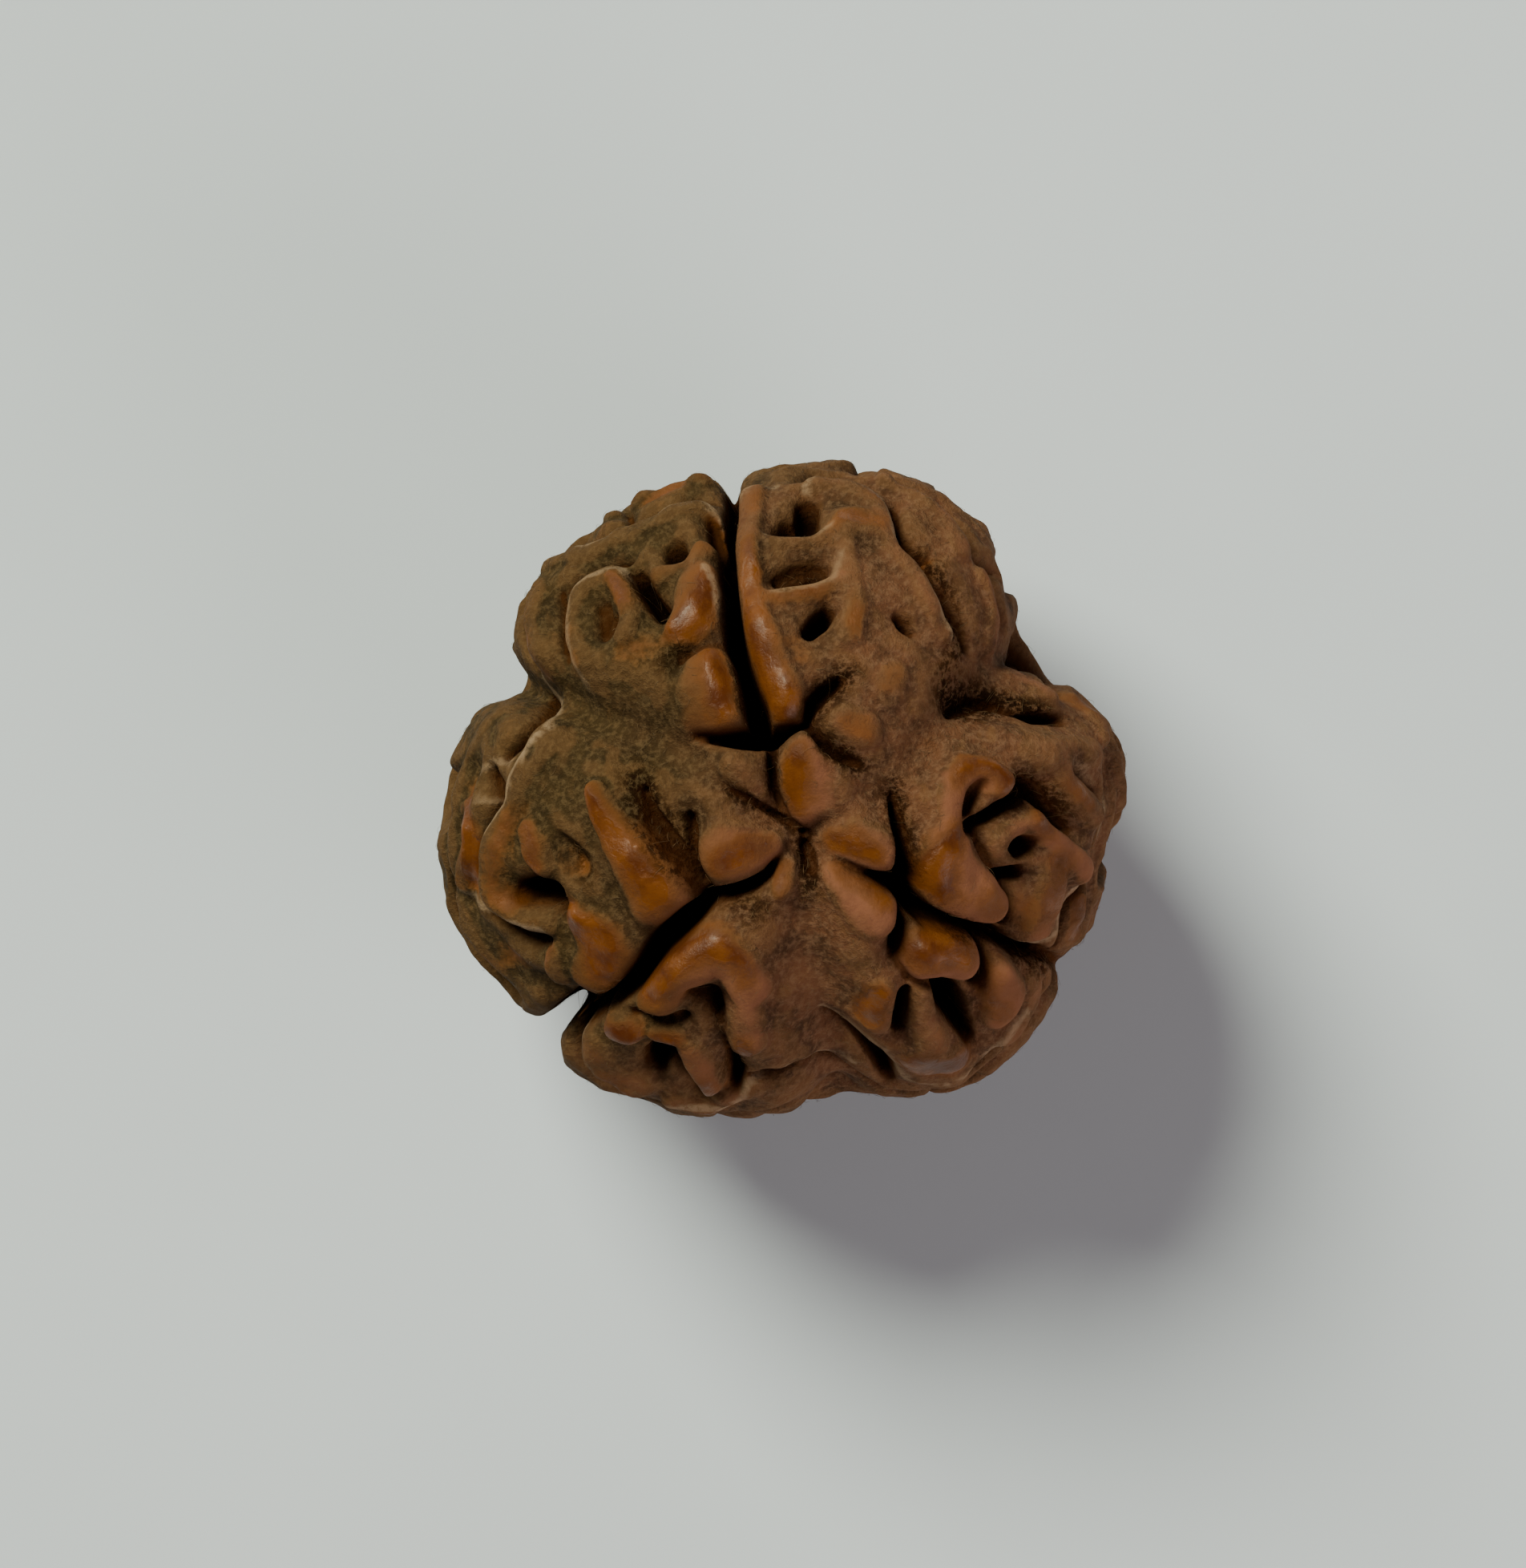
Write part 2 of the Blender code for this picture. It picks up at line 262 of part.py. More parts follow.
    "fold left of the cheek": (1.3, 0.3, [(-5.8, -6.8, 0.22), (-6.5, -7.2, 0.22), (-6.75, -7.9, 0.22),
                                          (-6.4, -8.5, 0.2), (-5.7, -9.0, 0.14)]),
    "lowest fold": (0.8, 0.3, [(-1.1, -8.95, 0.12), (-0.4, -8.85, 0.14), (0.3, -8.7, 0.14),
                               (1.1, -8.7, 0.14), (2.0, -9.0, 0.14), (3.0, -9.3, 0.12)]),
}

# The same three clefts on the underside, and the lower mouth that they meet at
UNDER_CUTS = {
    "upper exit below": (1.0, 0.3, [(-1.85, 11.5, 0.3), (-1.75, 10.0, 0.28), (-1.6, 9.0, 0.24)]),
    "upper cleft below": (2.2, 0.35, [(-1.6, 9.0, 0.24), (-1.5, 7.0, 0.26), (-1.2, 4.5, 0.28),
                                      (-0.6, 1.6, 0.2)]),
    "left exit below": (1.5, 0.25, [(-8.2, -8.2, 0.44), (-7.2, -7.1, 0.36), (-6.4, -6.3, 0.3)]),
    "left cleft below": (2.2, 0.35, [(-6.4, -6.3, 0.28), (-5.2, -4.6, 0.28), (-3.0, -1.8, 0.28),
                                     (-0.6, 1.2, 0.2)]),
    "right exit below": (0.7, 0.25, [(10.2, -6.25, 0.22), (8.9, -5.5, 0.22), (8.0, -5.0, 0.22)]),
    "right cleft below": (2.2, 0.35, [(8.0, -5.0, 0.22), (6.2, -3.5, 0.28), (3.2, -1.4, 0.28),
                                      (-0.4, 1.2, 0.2)]),
    "lower mouth": (1.6, 0.5, [(-0.5, 1.2, 0.35)]),
}

# Worn feet that the bead rests on: height, then the middle and half width of each
FEET = {
    "front foot": (0.5, [(0.5, -2.6, 1.5)]),
    "right foot": (0.5, [(2.2, 2.2, 1.5)]),
    "left foot": (0.5, [(-2.6, 0.9, 1.5)]),
}

# Worm-like net of the sides and the underside, which no hand-placed crest covers
NET_SEED = 3
NET_PITCH = 2.7  # crest to crest
NET_DEPTH = 1.25
NET_START, NET_FULL = 0.34, 0.0  # share of the half height where it begins and is full

# Uneven growth of the whole skin: crest to crest, height, seed
SWELLS = ((1.9, 0.05, 21), (0.75, 0.02, 22))
WAVES = 40  # plane waves in each random field

SHOULDER_DEPTH = 0.2  # soft fall of the ground towards a cut
SHOULDER_REACH = 0.7  # how far from the cut's edge it starts
FLAT_BOTTOM = 0.09  # half width of the flat floor of a cut
WALL_SLOPE = 14.0  # how steeply a cut falls inside its lip
BLEND_POWER = 3.0  # how softly neighbours run together
EVEN_FACE = 0.18  # side of the even faces that the skin is rebuilt from
SOFTENING = 4  # passes that round the edges off
MOST_TRIANGLES = 11600


def skin_radius(ray):
    """Distance from the heart to the plain skin along unit rays."""
    azimuth = np.degrees(np.arctan2(ray[:, 1], ray[:, 0]))
    angles, radii = np.array(OUTLINE).T
    radii = radii * OUTLINE_SCALE
    offsets = np.linspace(-OUTLINE_BLUR, OUTLINE_BLUR, 5)
    outline = np.mean([np.interp(azimuth + o, angles, radii, period=360) for o in offsets], axis=0)
    flat = np.hypot(ray[:, 0], ray[:, 1]) / outline
    tall = np.abs(ray[:, 2]) / HALF_HEIGHT
    return (flat**SKIN_POWER + tall**SKIN_POWER) ** (-1 / SKIN_POWER)


def lifted(path, side):
    """A plan path on the plain skin: side is 1 for the top and -1 for the underside."""
    path = np.array(path, float)
    reach = np.hypot(path[:, 0], path[:, 1])
    level = np.stack([path[:, 0], path[:, 1], np.zeros(len(path))], axis=1)
    rim = skin_radius(level / np.maximum(reach, 1e-9)[:, None])
    share = np.clip(reach / rim, 0, 0.9999)
    height = HALF_HEIGHT * (1 - share**SKIN_POWER) ** (1 / SKIN_POWER)
    inwards = np.minimum(1, rim / np.maximum(reach, 1e-9))
    return np.stack([path[:, 0] * inwards, path[:, 1] * inwards, side * height], axis=1), path[:, 2]


def reach_beyond(points, path, side=1):
    """Distance from each point to a path, and the same less the path's half width there."""
    places, widths = lifted(path, side)
    if len(places) == 1:
        places, widths = np.repeat(places, 2, axis=0), np.repeat(widths, 2)
    least = np.full(len(points), np.inf)
    share = np.full(len(points), np.inf)
    for a, b, wide_a, wide_b in zip(places[:-1], places[1:], widths[:-1], widths[1:]):
        along = b - a
        t = np.clip((points - a) @ along / max(along @ along, 1e-9), 0, 1)
        apart = np.maximum(np.linalg.norm(points - a - t[:, None] * along, axis=1), FLAT_BOTTOM)
        wide = wide_a + t * (wide_b - wide_a)
        least = np.minimum(least, apart - wide)
        share = np.minimum(share, apart / wide)
    return least, share


def crest(share):
    """Rounded bar: 1 on the line, 0 from one half width away on."""
    return (1 - np.clip(share, 0, 1) ** 4) ** 1.5


def slope(share):
    """Soft hollow: 1 on the line, 0 from one half width away on."""
    return np.cos(np.clip(share, 0, 1) * math.pi / 2) ** 2


def drop(beyond, depth, lip):
    """How far a cut falls: a soft shoulder, a quarter-round lip, then a steep wall that levels off."""
    shoulder = SHOULDER_DEPTH * slope(beyond / SHOULDER_REACH)
    arc = np.clip(lip - beyond, 0, lip)
    rounded = lip - np.sqrt(lip**2 - arc**2)
    wall = depth * (1 - np.exp(np.minimum(beyond, 0) * WALL_SLOPE / depth))
    return shoulder + rounded + wall


def waves(points, pitch, seed):
    """Worm-like field of random plane waves of one pitch, above 0 on its crests and below it between."""
    rng = np.random.default_rng(seed)
    way = rng.normal(size=(WAVES, 3))
    way *= 2 * math.pi / pitch / np.linalg.norm(way, axis=1)[:, None]
    phase = rng.uniform(0, 2 * math.pi, WAVES)
    return np.cos(points @ way.T + phase).sum(axis=1) * math.sqrt(2 / WAVES)


def smooth_step(x, start, end):
    t = np.clip((x - start) / (end - start), 0, 1)
    return t * t * (3 - 2 * t)


def strokes(points, paths, side, height):
    """The heights or depths that a table's strokes give the points, one row for each stroke."""
    return np.array([height(*reach_beyond(points, path, side), *sizes) for *sizes, path in paths.values()])


def blended(rows):
    """Rows of heights run together as if by one soft hand."""
    return (rows**BLEND_POWER).sum(axis=0) ** (1 / BLEND_POWER)


def raised(points):
    """How far the crests and the feet stand over the plain skin."""
    def bar(beyond, share, top):
        return top * crest(share)
    return blended(np.concatenate([strokes(points, CRESTS, 1, bar), strokes(points, FEET, -1, bar)]))


def fallen(points):
    """How far the cuts, and on the hidden sides the net, go into the skin."""
    def cut(beyond, share, depth, lip):
        return drop(beyond, depth, lip)
    rows = np.concatenate([strokes(points, CUTS, 1, cut), strokes(points, UNDER_CUTS, -1, cut)])
    feet = strokes(points, FEET, -1, lambda beyond, share, top: crest(share)).max(axis=0)
    hidden = smooth_step(points[:, 2] / HALF_HEIGHT, NET_START, NET_FULL)
    hollow = smooth_step(-waves(points, NET_PITCH, NET_SEED), -0.35, 1.1)
    return blended(np.concatenate([rows, (NET_DEPTH * hollow * hidden * (1 - feet))[None]]))


def relief(points):
    """Height of the finished skin over the plain one at points of the plain skin."""
    valleys = strokes(points, VALLEYS, 1, lambda beyond, share, depth: depth * slope(share)).sum(axis=0)
    swell = sum(height * waves(points, pitch, seed) for pitch, height, seed in SWELLS)
    return swell - valleys + raised(points) - fallen(points)


def sculpt(mesh):
    """Moves each corner of a unit sphere out to the bead's skin."""
    ray = np.empty(len(mesh.vertices) * 3)
    mesh.vertices.foreach_get("co", ray)
    ray = ray.reshape(-1, 3)
    ray /= np.linalg.norm(ray, axis=1)[:, None]
    skin = skin_radius(ray)
    place = ray * (skin + relief(ray * skin[:, None]))[:, None]
    mesh.vertices.foreach_set("co", (place * MM).ravel())
    mesh.update()


def thin_out(bead):
    """Rebuilds the skin in even faces, rounds its edges off and keeps the faces that the shape needs."""
    even = bead.modifiers.new("even faces", "REMESH")
    even.mode = "VOXEL"
    even.voxel_size = EVEN_FACE * MM
    bpy.ops.object.modifier_apply(modifier=even.name)
    soft = bead.modifiers.new("soft edges", "SMOOTH")
    soft.iterations = SOFTENING
    bpy.ops.object.modifier_apply(modifier=soft.name)
    thin = bead.modifiers.new("fewer faces", "DECIMATE")
    thin.ratio = MOST_TRIANGLES / (2 * len(bead.data.polygons))
    bpy.ops.object.modifier_apply(modifier=thin.name)


def wear_feet(mesh):
    """Cuts the feet flat, and stands the bead on them with the origin under the middle of its box."""
    made = bmesh.new()
    made.from_mesh(mesh)
    floor = Vector((0, 0, (FOOT_CUT - HALF_HEIGHT) * MM))
    every = [*made.verts, *made.edges, *made.faces]
    cut = bmesh.ops.bisect_plane(made, geom=every, plane_co=floor, plane_no=(0, 0, -1), clear_outer=True)
    rims = [item for item in cut["geom_cut"] if isinstance(item, bmesh.types.BMEdge)]
    bmesh.ops.edgeloop_fill(made, edges=rims)
    places = np.array([corner.co for corner in made.verts])
    middle = (places.min(axis=0) + places.max(axis=0)) / 2
    bmesh.ops.translate(made, verts=made.verts, vec=(-middle[0], -middle[1], -floor.z))
    made.to_mesh(mesh)
    made.free()


def nut_wood():
    """Dry brown nut wood, dull with dust and a little shiny where fingers reach."""
    made = bpy.data.materials.new("nut_wood")
    made.use_nodes = True
    shader = made.node_tree.nodes["Principled BSDF"]
    shader.inputs["Base Color"].default_value = (0.155, 0.072, 0.028, 1)
    shader.inputs["Roughness"].default_value = 0.6
    made.diffuse_color = (0.155, 0.072, 0.028, 1)
    return made


def build_bead():
    bpy.ops.mesh.primitive_ico_sphere_add(subdivisions=7, radius=1)
    bead = bpy.context.object
    bead.name = bead.data.name = "bead"
    sculpt(bead.data)
    thin_out(bead)
    wear_feet(bead.data)
    bead.data.materials.append(nut_wood())
    bead.data.shade_smooth()


def main():
    for old in list(bpy.data.objects):
        bpy.data.objects.remove(old)
    build_bead()


main()
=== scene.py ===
"""The look of a three-faced rudraksha bead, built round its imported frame.

Plan measures are millimetres, seen from above: +x right, +y up the page, from the middle of the outline.
"""

import math

import bpy
import numpy as np
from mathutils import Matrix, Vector


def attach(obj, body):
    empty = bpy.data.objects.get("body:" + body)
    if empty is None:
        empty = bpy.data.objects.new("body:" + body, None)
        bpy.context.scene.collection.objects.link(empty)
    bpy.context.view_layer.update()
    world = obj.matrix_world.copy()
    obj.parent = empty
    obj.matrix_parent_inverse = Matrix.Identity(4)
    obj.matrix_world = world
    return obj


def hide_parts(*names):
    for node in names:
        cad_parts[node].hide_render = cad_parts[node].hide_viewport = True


MM = 0.001

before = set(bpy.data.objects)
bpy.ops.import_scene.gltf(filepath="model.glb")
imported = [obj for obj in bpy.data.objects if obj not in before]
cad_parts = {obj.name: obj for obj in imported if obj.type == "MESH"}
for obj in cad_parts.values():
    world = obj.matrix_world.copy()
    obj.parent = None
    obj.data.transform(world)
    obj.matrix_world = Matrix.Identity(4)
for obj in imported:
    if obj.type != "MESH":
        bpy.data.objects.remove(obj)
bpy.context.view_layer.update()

# Driving dimensions of the plain skin
HALF_HEIGHT = 9.6  # heart to top, and heart to the uncut base
SKIN_POWER = 2.3  # 2 is an ellipsoid, more is fuller
FOOT_CUT = 0.55  # how much of the base is worn flat
OUTLINE_SCALE = 1.02
OUTLINE_BLUR = 3.0  # degrees either way that round the outline off

# Outline of the plain skin: azimuth in degrees from +x, radius
OUTLINE = (
    (0, 10.5), (10, 10.3), (20, 9.3), (33, 8.6), (42, 9.3), (52, 10.1), (66, 10.5), (82, 10.3),
    (93, 10.05), (97, 9.8), (101, 9.8), (107, 10.15), (120, 10.0), (135, 10.1), (147, 10.0), (153, 9.3),
    (158, 8.5), (164, 9.7), (175, 10.3), (190, 10.75), (203, 10.95), (214, 10.5), (225, 10.3),
    (233, 10.75), (245, 10.4), (260, 10.1), (270, 9.7), (280, 9.2), (289, 9.8), (300, 10.65), (314, 10.6),
    (326, 10.2), (338, 10.1), (348, 10.2),
)

# Soft valleys: depth, then (x, y, half width) along the valley
VALLEYS = {
    "left saddle": (0.8, [(-8.4, 3.4, 1.2), (-6.6, 2.7, 1.8), (-4.6, 1.9, 2.0), (-3.2, 1.2, 1.8)]),
    "right saddle": (0.7, [(8.0, 4.6, 1.6), (6.2, 3.0, 2.4), (4.4, 1.2, 2.2), (3.2, 0.2, 1.6)]),
    "lower saddle": (0.7, [(1.6, -9.4, 1.6), (1.4, -7.6, 2.0), (0.9, -5.8, 2.2), (0.5, -4.2, 1.6)]),
    "mouth": (0.8, [(0.4, -1.2, 3.6)]),
    "soft left hollow": (0.55, [(-6.9, -1.6, 0.6), (-6.4, -2.2, 0.8)]),
    "outer left": (0.5, [(-9.9, 0.6, 1.0), (-10.2, -1.5, 1.0), (-10.0, -3.6, 1.2), (-8.6, -5.3, 1.2),
        (-7.4, -6.0, 1.0)]),
    "outer right": (0.4, [(10.0, 2.0, 0.8), (10.3, 0.3, 0.8), (10.0, -1.6, 0.8), (9.5, -3.4, 0.8)]),
    "outer upper right": (0.5, [(3.8, 9.6, 0.9), (5.2, 8.6, 1.1), (6.1, 7.2, 1.1), (6.6, 5.8, 1.0)]),
    "outer lower left": (0.5, [(-6.9, -7.6, 0.8), (-5.6, -9.0, 0.8), (-4.0, -9.6, 0.8)]),
}

# Raised crests: height, then (x, y, half width) along the crest
CRESTS = {
    # upper left cheek
    "tooth over the crossing": (0.4, [(-2.45, 4.0, 0.85), (-2.35, 3.2, 1.15), (-2.35, 2.4, 1.3)]),
    "upper left tooth edge": (0.42, [(-2.6, 6.6, 0.75), (-2.7, 6.0, 0.95), (-2.8, 5.4, 0.95),
        (-3.1, 5.0, 0.7)]),
    "upper left tooth top": (0.35, [(-2.55, 7.45, 0.5), (-2.95, 7.1, 0.5), (-3.5, 6.8, 0.45),
        (-4.0, 6.6, 0.4)]),
    "ring right limb": (0.3, [(-5.2, 6.65, 0.4), (-4.95, 6.2, 0.45), (-4.8, 5.6, 0.5), (-4.9, 4.9, 0.5)]),
    "ring left limb": (0.18, [(-5.5, 6.85, 0.5), (-6.2, 6.4, 0.5), (-6.6, 5.7, 0.5), (-6.65, 4.9, 0.5),
        (-6.35, 4.2, 0.5)]),
    "upper left rim": (0.22, [(-7.2, 7.0, 0.5), (-6.6, 7.3, 0.5), (-5.9, 7.45, 0.5), (-5.3, 7.8, 0.5),
        (-4.6, 8.1, 0.5), (-3.9, 8.35, 0.5), (-3.2, 8.75, 0.5), (-2.6, 8.8, 0.5), (-2.15, 8.5, 0.4)]),
    "upper left outer lobe": (0.3, [(-6.3, 8.1, 0.5), (-5.6, 8.6, 0.5), (-5.25, 8.7, 0.4)]),
    "upper left outer ridge": (0.35, [(-4.6, 9.0, 0.45), (-3.8, 9.4, 0.55), (-3.0, 9.7, 0.55),
        (-2.5, 9.6, 0.45)]),
    "upper left flank": (0.25, [(-7.6, 6.3, 0.6), (-7.8, 5.3, 0.6), (-7.6, 4.3, 0.6), (-7.3, 3.7, 0.5)]),
    # left cheek
    "left rim": (0.24, [(-7.1, 2.9, 0.6), (-7.1, 2.3, 0.7), (-7.5, 1.4, 0.8), (-8.0, 0.7, 0.7),
        (-8.3, 0.0, 0.7), (-8.7, -0.8, 0.7), (-9.0, -1.6, 0.7), (-9.1, -2.4, 0.7), (-9.0, -3.1, 0.7),
        (-8.4, -3.75, 0.5), (-7.8, -3.95, 0.45), (-7.3, -4.1, 0.4)]),
    "left knob": (0.35, [(-7.8, -1.1, 0.5), (-7.6, -1.7, 0.6), (-7.45, -2.2, 0.5)]),
    "long crest": (0.5, [(-5.7, 0.1, 0.4), (-5.45, -0.6, 0.6), (-4.9, -1.4, 0.9), (-4.3, -2.1, 1.15),
        (-3.85, -2.75, 1.3), (-3.75, -3.2, 1.25)]),
    "left blob": (0.5, [(-6.3, -3.8, 0.6), (-5.7, -4.3, 1.05), (-5.35, -4.9, 1.3), (-5.6, -5.6, 1.25)]),
    "small left knob": (0.3, [(-7.1, -4.9, 0.5), (-6.9, -5.5, 0.6)]),
    "left back crest": (0.35, [(-10.1, -0.5, 0.5), (-10.0, -1.1, 0.55), (-10.1, -1.9, 0.55),
        (-10.2, -2.8, 0.5)]),
    # teeth round the mouth
    "tooth left of the mouth": (0.45, [(-1.85, -1.85, 1.2), (-1.2, -1.8, 1.05), (-0.6, -1.75, 0.75)]),
    "tooth over the mouth": (0.42, [(0.5, 1.4, 0.65), (0.55, 0.7, 0.95), (0.65, 0.0, 1.1),
        (0.5, -0.5, 0.8)]),
    "flank of that tooth": (0.28, [(1.3, 0.7, 0.8), (1.3, 0.1, 0.9)]),
    "tooth right of the mouth": (0.42, [(1.6, -1.55, 0.6), (2.3, -1.55, 0.95), (2.75, -1.75, 0.95)]),
    "tooth under the right cleft": (0.42, [(1.5, -2.55, 0.55), (2.2, -3.05, 0.9), (2.7, -3.5, 1.1)]),
    "tooth under the mouth": (0.32, [(0.1, -2.3, 0.35), (-0.1, -2.9, 0.5)]),
    "dull tooth": (0.25, [(-1.6, 0.85, 0.6), (-1.15, 0.4, 0.6), (-0.85, 0.0, 0.4)]),
    # upper right cheek
    "upper cleft edge": (0.36, [(-1.1, 9.2, 0.6), (-1.15, 8.3, 0.55), (-1.2, 7.2, 0.55),
        (-1.1, 6.3, 0.55), (-0.95, 5.4, 0.6), (-0.65, 4.5, 0.7), (-0.35, 3.6, 0.85), (-0.1, 2.8, 0.9)]),
    "upper bar": (0.2, [(-0.8, 7.75, 0.4), (0.1, 7.7, 0.35), (1.0, 7.8, 0.35), (1.5, 8.1, 0.45)]),
    "lower bar": (0.28, [(-0.7, 6.0, 0.4), (0.2, 6.1, 0.35), (1.0, 6.25, 0.35), (1.55, 6.6, 0.35)]),
    "upright bar": (0.22, [(1.7, 8.0, 0.5), (1.75, 7.2, 0.5), (1.9, 6.5, 0.5), (2.1, 5.7, 0.5),
        (2.0, 4.9, 0.5)]),
    "upper plateau": (0.24, [(2.0, 8.3, 0.9), (2.6, 8.3, 0.9)]),
    "upper right rim": (0.26, [(0.9, 9.5, 0.4), (1.5, 9.5, 0.45), (2.1, 9.25, 0.5), (2.8, 8.85, 0.5),
        (3.0, 8.3, 0.5), (3.2, 7.6, 0.5), (3.8, 6.95, 0.5), (4.1, 6.4, 0.5), (4.4, 5.8, 0.5),
        (4.8, 5.0, 0.5)]),
    "upper right back": (0.3, [(3.2, 9.7, 0.5), (4.2, 9.2, 0.6), (4.9, 8.4, 0.6), (5.3, 7.6, 0.6)]),
    "right of the side pits": (0.3, [(6.1, 6.6, 0.5), (6.4, 5.6, 0.5), (6.4, 4.7, 0.5)]),
    "knob by the crossing": (0.3, [(1.75, 2.2, 0.6), (2.45, 2.0, 0.7)]),
    "inner knob": (0.2, [(3.3, 3.6, 0.6), (3.1, 3.0, 0.6)]),
    # right cheek
    "hook knob": (0.46, [(6.3, 0.5, 0.66), (6.6, 0.32, 0.56)]),
    "hook": (0.44, [(6.2, 0.7, 0.55), (5.6, 0.75, 0.6), (5.2, 0.4, 0.6), (5.05, -0.2, 0.58),
        (5.0, -0.9, 0.55)]),
    "hook foot": (0.52, [(4.9, -1.5, 0.95), (4.8, -2.3, 1.2), (5.2, -2.8, 1.2), (5.9, -3.2, 1.1),
        (6.2, -3.4, 0.95)]),
    "lattice tip": (0.42, [(7.62, -0.8, 0.42), (7.9, -1.25, 0.5), (8.5, -1.65, 0.55), (9.0, -2.3, 0.6)]),
    "lattice left edge": (0.32, [(7.4, -0.9, 0.42), (6.8, -1.2, 0.42), (6.45, -1.7, 0.4)]),
    "lattice bridge": (0.24, [(6.5, -1.95, 0.3), (7.3, -2.05, 0.3), (8.0, -2.1, 0.4)]),
    "lattice foot": (0.34, [(8.1, -2.7, 0.8), (8.0, -3.4, 0.88), (7.75, -4.05, 0.8)]),
    "dusty crest": (0.24, [(6.8, 1.8, 0.6), (7.4, 1.6, 0.75), (8.0, 1.3, 0.8), (8.8, 1.2, 0.7),
        (9.5, 1.3, 0.6)]),
    "right crest": (0.3, [(8.6, 0.5, 0.6), (9.1, 0.0, 0.7), (9.5, -0.6, 0.6)]),
    "upper right crest": (0.3, [(9.0, 2.9, 0.6), (9.5, 2.4, 0.6), (9.8, 1.8, 0.5)]),
    "saddle knob": (0.32, [(7.5, 3.7, 0.7), (8.0, 3.2, 0.6)]),
    # lower right cheek
    "bean": (0.58, [(4.15, -4.95, 0.98), (4.8, -4.8, 0.88), (5.35, -4.98, 0.95)]),
    "left bar of the pits": (0.3, [(2.9, -6.0, 0.55), (2.8, -7.0, 0.65)]),
    "middle bar of the pits": (0.26, [(4.3, -6.1, 0.4), (4.3, -6.9, 0.5), (4.5, -7.7, 0.7)]),
    "lower right patch": (0.32, [(4.2, -8.25, 0.9), (5.1, -8.2, 0.9)]),
    "right bar of the pits": (0.46, [(6.45, -5.65, 0.82), (6.7, -6.1, 0.9), (6.5, -6.7, 0.7)]),
    "lower right rim": (0.26, [(7.6, -5.7, 0.6), (7.5, -6.5, 0.6), (6.9, -7.4, 0.6)]),
    # lower left cheek
    "arch": (0.5, [(-3.95, -6.15, 0.95), (-3.4, -5.5, 1.0), (-2.75, -5.0, 1.0), (-2.1, -4.8, 1.0),
        (-1.5, -5.1, 0.9), (-1.1, -5.8, 0.9)]),
    "arch knob": (0.36, [(-1.15, -6.7, 0.75), (-1.2, -7.45, 0.78)]),
    "tongue": (0.42, [(-2.9, -7.8, 0.55), (-2.6, -8.3, 0.6), (-2.25, -8.9, 0.45)]),
    "red knob": (0.46, [(-5.2, -7.15, 0.6), (-4.75, -7.25, 0.6)]),
    "red bar": (0.36, [(-3.9, -7.35, 0.42), (-3.3, -7.35, 0.42)]),
    "lower left cheek": (0.3, [(-5.9, -7.8, 0.8), (-5.4, -8.5, 0.8), (-4.6, -8.9, 0.7)]),
    "lowest ridge": (0.3, [(-3.4, -9.4, 0.5), (-2.4, -9.6, 0.5), (-1.4, -9.3, 0.5)]),
}

